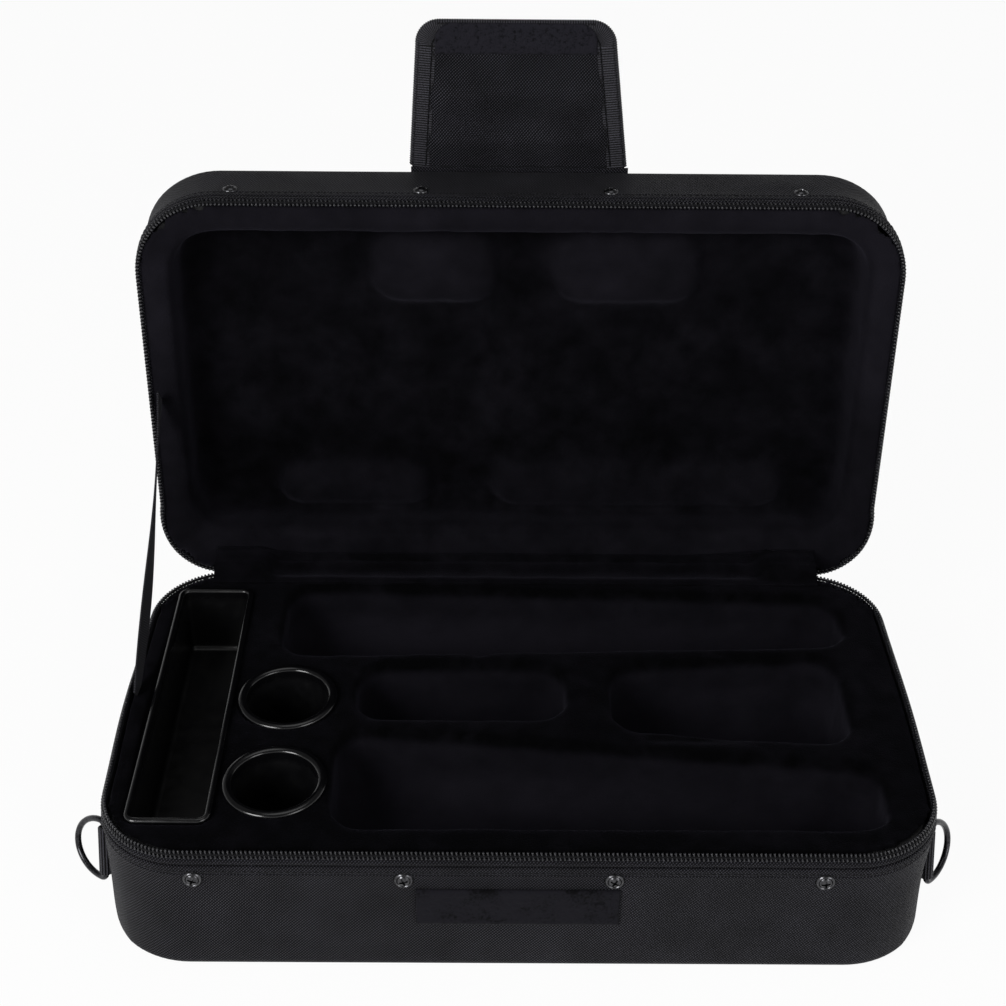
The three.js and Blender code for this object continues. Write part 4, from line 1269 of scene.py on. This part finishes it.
bm = sweep(binding_section(), flap_edge(), tube=True)
along = bm.verts.layers.float["along"]
bm.normal_update()
ribs = [(v, v.normal * rib_height * math.cos(2 * math.pi * v[along] / rib_pitch)) for v in bm.verts]
for vert, rib in ribs:
    vert.co += rib
nodes = ("flap_binding",)
make_piece("flap_edging", bm, webbing, "flap", flap_place, nodes, crease=60)

# %% Flap stitches
bm = bmesh.new()
for z in (binding_top + 0.02, binding_foot - 0.02):
    sew(bm, [p + Vector((0, 0, z)) for p in flap_edge(8.2)[::8]], 2.9)
make_piece("flap_stitches", bm, thread, "flap", flap_place, crease=60)

# %% [markdown]
# ## Hook strip and loop strip
# Both strips are sewn-down tapes with a rough face. Each is a fine grid pushed out by
# noise: high and pointed for the hooks, low and matted for the loops. The hook strip
# fills the flap's free end, so its two end corners are as round as the binding there.


# %% Fastener strips
def round_corner(vert, size, corner):
    dx, dy = abs(vert.co.x) - size[0] / 2 + corner, -vert.co.y - size[1] / 2 + corner
    if dx > 0 and dy > 0:
        pull = 1 - max(dx, dy) / math.hypot(dx, dy)
        vert.co.x -= math.copysign(dx * pull, vert.co.x)
        vert.co.y += dy * pull


def fuzzy_strip(name, size, thickness, rough, grain, finish, place, body, node, corner=0):
    bm = bmesh.new()
    uv = bm.loops.layers.uv.new("cloth")
    columns, rows = (round(side / 0.8) for side in size)
    bmesh.ops.create_grid(bm, x_segments=columns, y_segments=rows, size=1)
    bmesh.ops.scale(bm, vec=(size[0] / 2, size[1] / 2, 1), verts=bm.verts)
    for vert in bm.verts:
        inset = min(size[0] / 2 - abs(vert.co.x), size[1] / 2 - abs(vert.co.y))
        roll = thickness * math.sqrt(max(0.0, min(1.0, inset / 1.2)) * 0.6 + 0.4)
        nap = noise.noise(Vector((vert.co.x / grain[0], vert.co.y / grain[1], 7)))
        vert.co.z = roll + rough * nap * min(1, inset / 1.5)
        round_corner(vert, size, corner)
    skirt = bmesh.ops.extrude_edge_only(bm, edges=open_edges(bm))["geom"]
    for vert in (g for g in skirt if isinstance(g, bmesh.types.BMVert)):
        vert.co.z = 0
    bmesh.ops.holes_fill(bm, edges=open_edges(bm))
    map_flat(bm.faces, uv)
    bmesh.ops.recalc_face_normals(bm, faces=bm.faces)
    make_piece(name, bm, finish, body, place, (node,), crease=80)


hook_place = flap_place @ Matrix.Translation((0, flap_end + 8.5, binding_top - 0.1))
loop_place = Matrix.Translation((0, -106.9, 38)) @ Matrix.Rotation(math.radians(87), 4, "X")
fuzzy_strip("hooks", (78, 15), 0.9, 0.5, (1.1, 2.6), fuzzy, hook_place, "flap", "hook_strip", 9)
fuzzy_strip("loops", (90, 20), 1.6, 0.35, (1.6, 1.6), loop_pile, loop_place, "base", "loop_patch")


# %% Stitching of the strips
def on_loops(x, z):
    return (x, -108.35 + (z - 36) * 0.052, z)


bm = bmesh.new()
corners = [(-43.3, 29.7), (43.3, 29.7), (43.3, 46.3), (-43.3, 46.3)]
sew(bm, [on_loops(x, z) for x, z in corners], 2.9, closed=True)
make_piece("loops_stitches", bm, thread, "base", crease=60)

# %% [markdown]
# ## Flap root and fold
# The flap is sewn to the lid by a strip of the same cloth. Where it folds, a narrow
# strip of cloth covers the line. That strip is a sheet, because it has to bend when the
# flap comes down.

# %% Flap root
root_line = [(-54 + 2 * k, (-109.1 - 81) / 2, -0.9) for k in range(55)]
root_section = [(-14, -0.45), (-14, 0.35), (-13.6, 0.55), (13.6, 0.55)]
root_section += [(14, 0.35), (14, -0.45), (13.6, -0.55), (-13.6, -0.55)]
bm = sweep(root_section, root_line, tube=True)
make_piece("flap_root_cloth", bm, nylon, "lid", lid_place, ("flap_root",))

bm = bmesh.new()
for y in (-84, -88, -106):
    sew(bm, [(-52, y, -1.5), (52, y, -1.5)], 2.9)
make_piece("flap_root_stitches", bm, thread, "lid", lid_place, crease=60)

# %% Fold
fold_line = [(0, -104 - 0.5 * k, -2.05) for k in range(23)]
across = [-52.8 + 2.2 * k for k in range(49)]
fold_section = [(x, 0.15) for x in across] + [(x, -0.15) for x in reversed(across)]
bm = sweep(fold_section, fold_line, tube=True)
fold = make_piece("flap_fold", bm, nylon, None, flap_place)

# %% [markdown]
# ## Handle
# On its outer side the flap has a carrying handle: webbing that lies flat where it is
# sewn down and rises between, and a padded sleeve round its middle. Both are sections
# swept along a line, and the sleeve is pushed about a little as stuffed cloth is.

# %% Handle
handle_y, handle_seat, handle_rise = -109.5 - 38, -5.5, 24
strap_line = []
for k in range(61):
    x = -38 + 76 * k / 60
    strap_line.append((x, handle_y, handle_seat - 1 - handle_rise * soft_step((27 - abs(x)) / 7)))
bm = sweep(band(11, 1, 0.4, 0.3), strap_line, tube=True)
make_piece("carry_strap", bm, webbing, "flap", flap_place, ("handle_strap",))

around = []
for x, z, start in ((10.5, 1.5, 0), (-10.5, 1.5, 90), (-10.5, -1.5, 180), (10.5, -1.5, 270)):
    around += quarter_turn(x, z, 2.0, start, start + 90, 4)
grip_height = handle_seat - handle_rise - 1
bm = sweep(around, [(-18 + 36 * k / 24, handle_y, grip_height) for k in range(25)], tube=True)
ripple(bm, 0.5, 9)
grip = make_piece("grip_sleeve", bm, nylon, "flap", flap_place, ("handle_grip",))

# %% [markdown]
# ## What bends at the hinge
# Two strips join base and lid, cloth outside and plush inside, and a strap at the left
# stops the lid. They belong to both halves, so they are drawn as they hang at rest and
# then blended: near the base they stay, near the lid they follow it. A few points give
# the line of each strip, and a smooth curve is laid through them.


# %% Lines of the strips
def smooth_line(points, steps):
    made = []
    for i in range(len(points) - 1):
        a, b = Vector(points[max(0, i - 1)]), Vector(points[i])
        c, d = Vector(points[i + 1]), Vector(points[min(len(points) - 1, i + 2)])
        for t in (k / steps for k in range(steps)):
            straight_part = 2 * b + (c - a) * t
            curved_part = (2 * a - 5 * b + 4 * c - d) * t * t
            made.append(0.5 * (straight_part + curved_part + (3 * b - a - 3 * c + d) * t ** 3))
    return made + [Vector(points[-1])]


def length_of(line):
    return sum((b - a).length for a, b in zip(line, line[1:])) / 1000


def on_lid(y, z):
    spot = lid_place @ Vector((0, y, z))
    return (0, spot.y, spot.z)


outside = smooth_line(
    [
        (0, 106.9, 51.8), (0, 106.9, 56), (0, 107.6, 59.6), (0, 111.5, 60.2),
        on_lid(106.9, 31.5), on_lid(106.9, 23),
    ],
    6,
)
inside = smooth_line(
    [
        (0, 94.6, 67.6), (0, 99, 67.6), (0, 103, 66.2), (0, 108, 65.6), (0, 113.5, 66.3),
        on_lid(99, 38.8), on_lid(94.6, 38.7),
    ],
    6,
)
print("outside", round(length_of(outside), 4), "m, inside", round(length_of(inside), 4), "m")

# %% [markdown]
# The plush strip has to pass over the two zip sliders at its ends, so it is lifted
# there. It also has a slow wave in it, while the outer cloth is drawn tight.


# %% Hinge strips
def strip_up(line, i):
    before, after = line[max(0, i - 1)], line[min(len(line) - 1, i + 1)]
    way = (after - before).normalized()
    return Vector((0, -way.z, way.y))


def clear_sliders(bm):
    for vert in bm.verts:
        rise = 6.7 * soft_step((vert.co.y - 97) / 10)
        rise -= 0.68 * max(0, vert.co.z - 66.5) * soft_step((vert.co.y - 110) / 5)
        vert.co.z += max(0, rise) * soft_step((abs(vert.co.x) - 126) / 9)


def strip_sweep(line, width, thickness):
    columns = [-width / 2 + width * k / 90 for k in range(91)]
    section = [(x, thickness / 2) for x in columns]
    section += [(x, -thickness / 2) for x in reversed(columns)]
    return sweep(section, line, up=[strip_up(line, i) for i in range(len(line))], tube=True)


bm = strip_sweep(outside, 296, 1.2)
cloth_strip = make_piece("hinge_cloth", bm, nylon, None, instead_of=("cloth_hinge",))

bm = strip_sweep(inside, 320, 1.3)
ripple(bm, 0.5, 16)
clear_sliders(bm)
plush_strip = make_piece("hinge_plush", bm, plush, None, instead_of=("plush_hinge",))

# %% [markdown]
# The stay is a narrow strap. It hangs almost tight, so its line bows inwards by less
# than two millimetres, and the strap turns about that line by ten degrees and back.

# %% Stay strap
stay_foot, stay_head = Vector((-184.4, 2.0, 67.4)), Vector((-182.2, 119.2, 167.0))
stay_line, stay_up = [], []
for share in (k / 40 for k in range(41)):
    bow = Vector((1.8 * math.sin(math.pi * share), 0, 0))
    stay_line.append(stay_foot.lerp(stay_head, share) + bow)
    lean = math.radians(10 * math.sin(2 * math.pi * share))
    stay_up.append(Vector((math.cos(lean), -math.sin(lean) * 0.64, math.sin(lean) * 0.77)))
strap = [(-5.8, -0.4), (-5.8, 0.4), (5.8, 0.4), (5.8, -0.4)]
bm = sweep(strap, stay_line, up=stay_up, tube=True)
stay = make_piece("stay", bm, webbing, None, instead_of=("stay_strap",))

# %% [markdown]
# ## Hidden and small hard parts
# The shell, the rails, the board and the zip's sliders have their right shape in the
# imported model. A merged copy of each gets its flat faces joined and its edges broken by
# a small bevel, since nothing made in a mould or a saw has a knife edge. The board leans
# with the flap.


# %% Softened copies
def softened(name, node, finish, body, bevel, shift=Matrix()):
    bm = copy_of(node)
    bmesh.ops.transform(bm, matrix=shift, verts=bm.verts)
    bmesh.ops.dissolve_limit(bm, angle_limit=math.radians(2), verts=bm.verts, edges=bm.edges)
    inner = [e for e in bm.edges if len(e.link_faces) == 2]
    sharp = [e for e in inner if e.calc_face_angle(0) > math.radians(50)]
    bmesh.ops.bevel(
        bm, geom=sharp, offset=bevel, segments=2, profile=0.5, affect="EDGES", material=-1,
        clamp_overlap=True,
    )
    make_piece(name, bm, finish, body, instead_of=(node,))


softened("base_shell", "base_core", foam, "base", 0.4)
softened("lid_shell", "lid_core", foam, "lid", 0.4)
softened("base_rail", "base_front_rail", wood, "base", 0.3)
softened("lid_rail", "lid_front_rail", wood, "lid", 0.3)
leaned = flap_place @ lid_place.inverted()
softened("flap_stiff_board", "flap_board", board, "flap", 0.15, leaned)
for name in ("left", "right"):
    slider, pull = f"zip_slider_{name}", f"zip_pull_{name}"
    softened(f"slider_{name}", slider, dark_metal, "base", 0.35)
    softened(f"pull_{name}", pull, dark_metal, f"{name}_pull", 0.3)

# %% [markdown]
# ## Two bodies, one cloth
# The blend of each strip starts where it leaves one body and ends where it reaches the
# other. For the fold of the flap these two places lie a millimetre and a half apart,
# on the lid's outer panel.

# %% Blend the strips over the hinge
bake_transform(cloth_strip, "base", "lid", start=(0, 0.1069, 0.0560), end=(0, 0.1180, 0.0640))
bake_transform(plush_strip, "base", "lid", start=(0, 0.0990, 0.0660), end=(0, 0.1160, 0.0700))
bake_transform(stay, "base", "lid", start=(-0.1844, 0.002, 0.0674), end=(-0.1822, 0.1192, 0.1670))
before, after = (lid_place @ Vector((0, y, -1.5)) / 1000 for y in (-108.7, -110.3))
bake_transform(fold, "lid", "flap", start=tuple(before), end=tuple(after))
print("fold from", before.to_tuple(4), "to", after.to_tuple(4))

# %% [markdown]
# ## Floor
# The case stands on a pale floor. The white of the background comes from what the
# camera, and the metal, see of the floor, and never from more light on the case. A
# twentieth of the floor's own shading stays in what the camera sees, for the shadow.

# %% Floor
bm = bmesh.new()
bmesh.ops.create_grid(bm, x_segments=8, y_segments=8, size=4)
bmesh.ops.translate(bm, vec=(0, 0, -0.0004), verts=bm.verts)
floor = bpy.data.objects.new("studio_floor", as_mesh(bm, "studio_floor"))
bpy.context.scene.collection.objects.link(floor)
pale = new_finish("pale_floor", (0.82, 0.82, 0.82), 0.9)
paint(pale, clouds(pale, case_spot(pale), 400, 2), (0.80, 0.80, 0.80), (0.86, 0.86, 0.86))
to_camera, to_gloss = (put(pale, "LightPath", {}, f"Is {kind} Ray") for kind in ("Camera", "Glossy"))
white_share = sums(pale, "MULTIPLY", sums(pale, "MAXIMUM", to_camera, to_gloss), 0.95)
lit = pale.node_tree.nodes["Principled BSDF"].outputs[0]
surface = put(pale, "MixShader", {0: white_share, 1: lit, 2: put(pale, "Emission", {})})
output = pale.node_tree.nodes["Material Output"]
pale.node_tree.links.new(surface, output.inputs["Surface"])
floor.data.materials.append(pale)

# %% [markdown]
# ## Room
# The room is white to the camera, and gives the case an even, plain light. In gloss and
# metal it shows as a white room with a dim ceiling, which keeps the rims of the cups and
# rings from turning into one flat white.

# %% Room
world = bpy.data.worlds.new("room")
bpy.context.scene.world = world
world.use_nodes = True
height = put(world, "SeparateXYZ", {0: put(world, "TexCoord", {}, "Generated")}, "Z")
dim_ceiling = put(
    world, "MapRange",
    {"Value": height, "From Min": 0.1, "From Max": 0.6, "To Min": 1.0, "To Max": 0.12},
)
even_light = world.node_tree.nodes["Background"]
even_light.inputs["Color"].default_value = (0.55, 0.55, 0.56, 1)
world.node_tree.links.new(dim_ceiling, even_light.inputs["Strength"])
white = (1, 1, 1, 1)
in_gloss = put(world, "Background", {"Color": white, "Strength": dim_ceiling})
to_camera, to_gloss, through = (
    put(world, "LightPath", {}, f"Is {kind} Ray") for kind in ("Camera", "Glossy", "Transmission")
)
mirrored = sums(world, "MAXIMUM", to_gloss, through)
lit = put(world, "MixShader", {0: mirrored, 1: even_light.outputs[0], 2: in_gloss})
white_wall = put(world, "Background", {"Color": white})
room = put(world, "MixShader", {0: to_camera, 1: lit, 2: white_wall})
world.node_tree.links.new(room, world.node_tree.nodes["World Output"].inputs["Surface"])
print("nodes of the room", len(world.node_tree.nodes))

# %% [markdown]
# ## Lamps
# Two large soft lamps in front and a weak one above, at a plain level. The left one is
# the stronger, so the weave of the front wall and the edges of the wells get a side.

# %% Lamps
for name, place, aim, size, power in (
    ("key_lamp", (-1.15, -1.35, 1.1), (0, 0, 0.14), 1.0, 31),
    ("fill_lamp", (1.2, -1.3, 0.8), (0, 0, 0.1), 1.0, 10),
    ("top_lamp", (0.1, 0.1, 1.9), (0, 0, 0.05), 1.2, 4),
):
    lamp = bpy.data.objects.new(name, bpy.data.lights.new(name, "AREA"))
    bpy.context.scene.collection.objects.link(lamp)
    lamp.data.shape, lamp.data.size, lamp.data.energy = "DISK", size, power
    lamp.location = place
    lamp.rotation_euler = (Vector(aim) - Vector(place)).to_track_quat("-Z", "Y").to_euler()
    print(name, power, "W")
bpy.context.scene.view_settings.view_transform = "Standard"

# %% [markdown]
# ## The end
# The last call brings the scene up to date.

# %% Finish
bpy.context.view_layer.update()
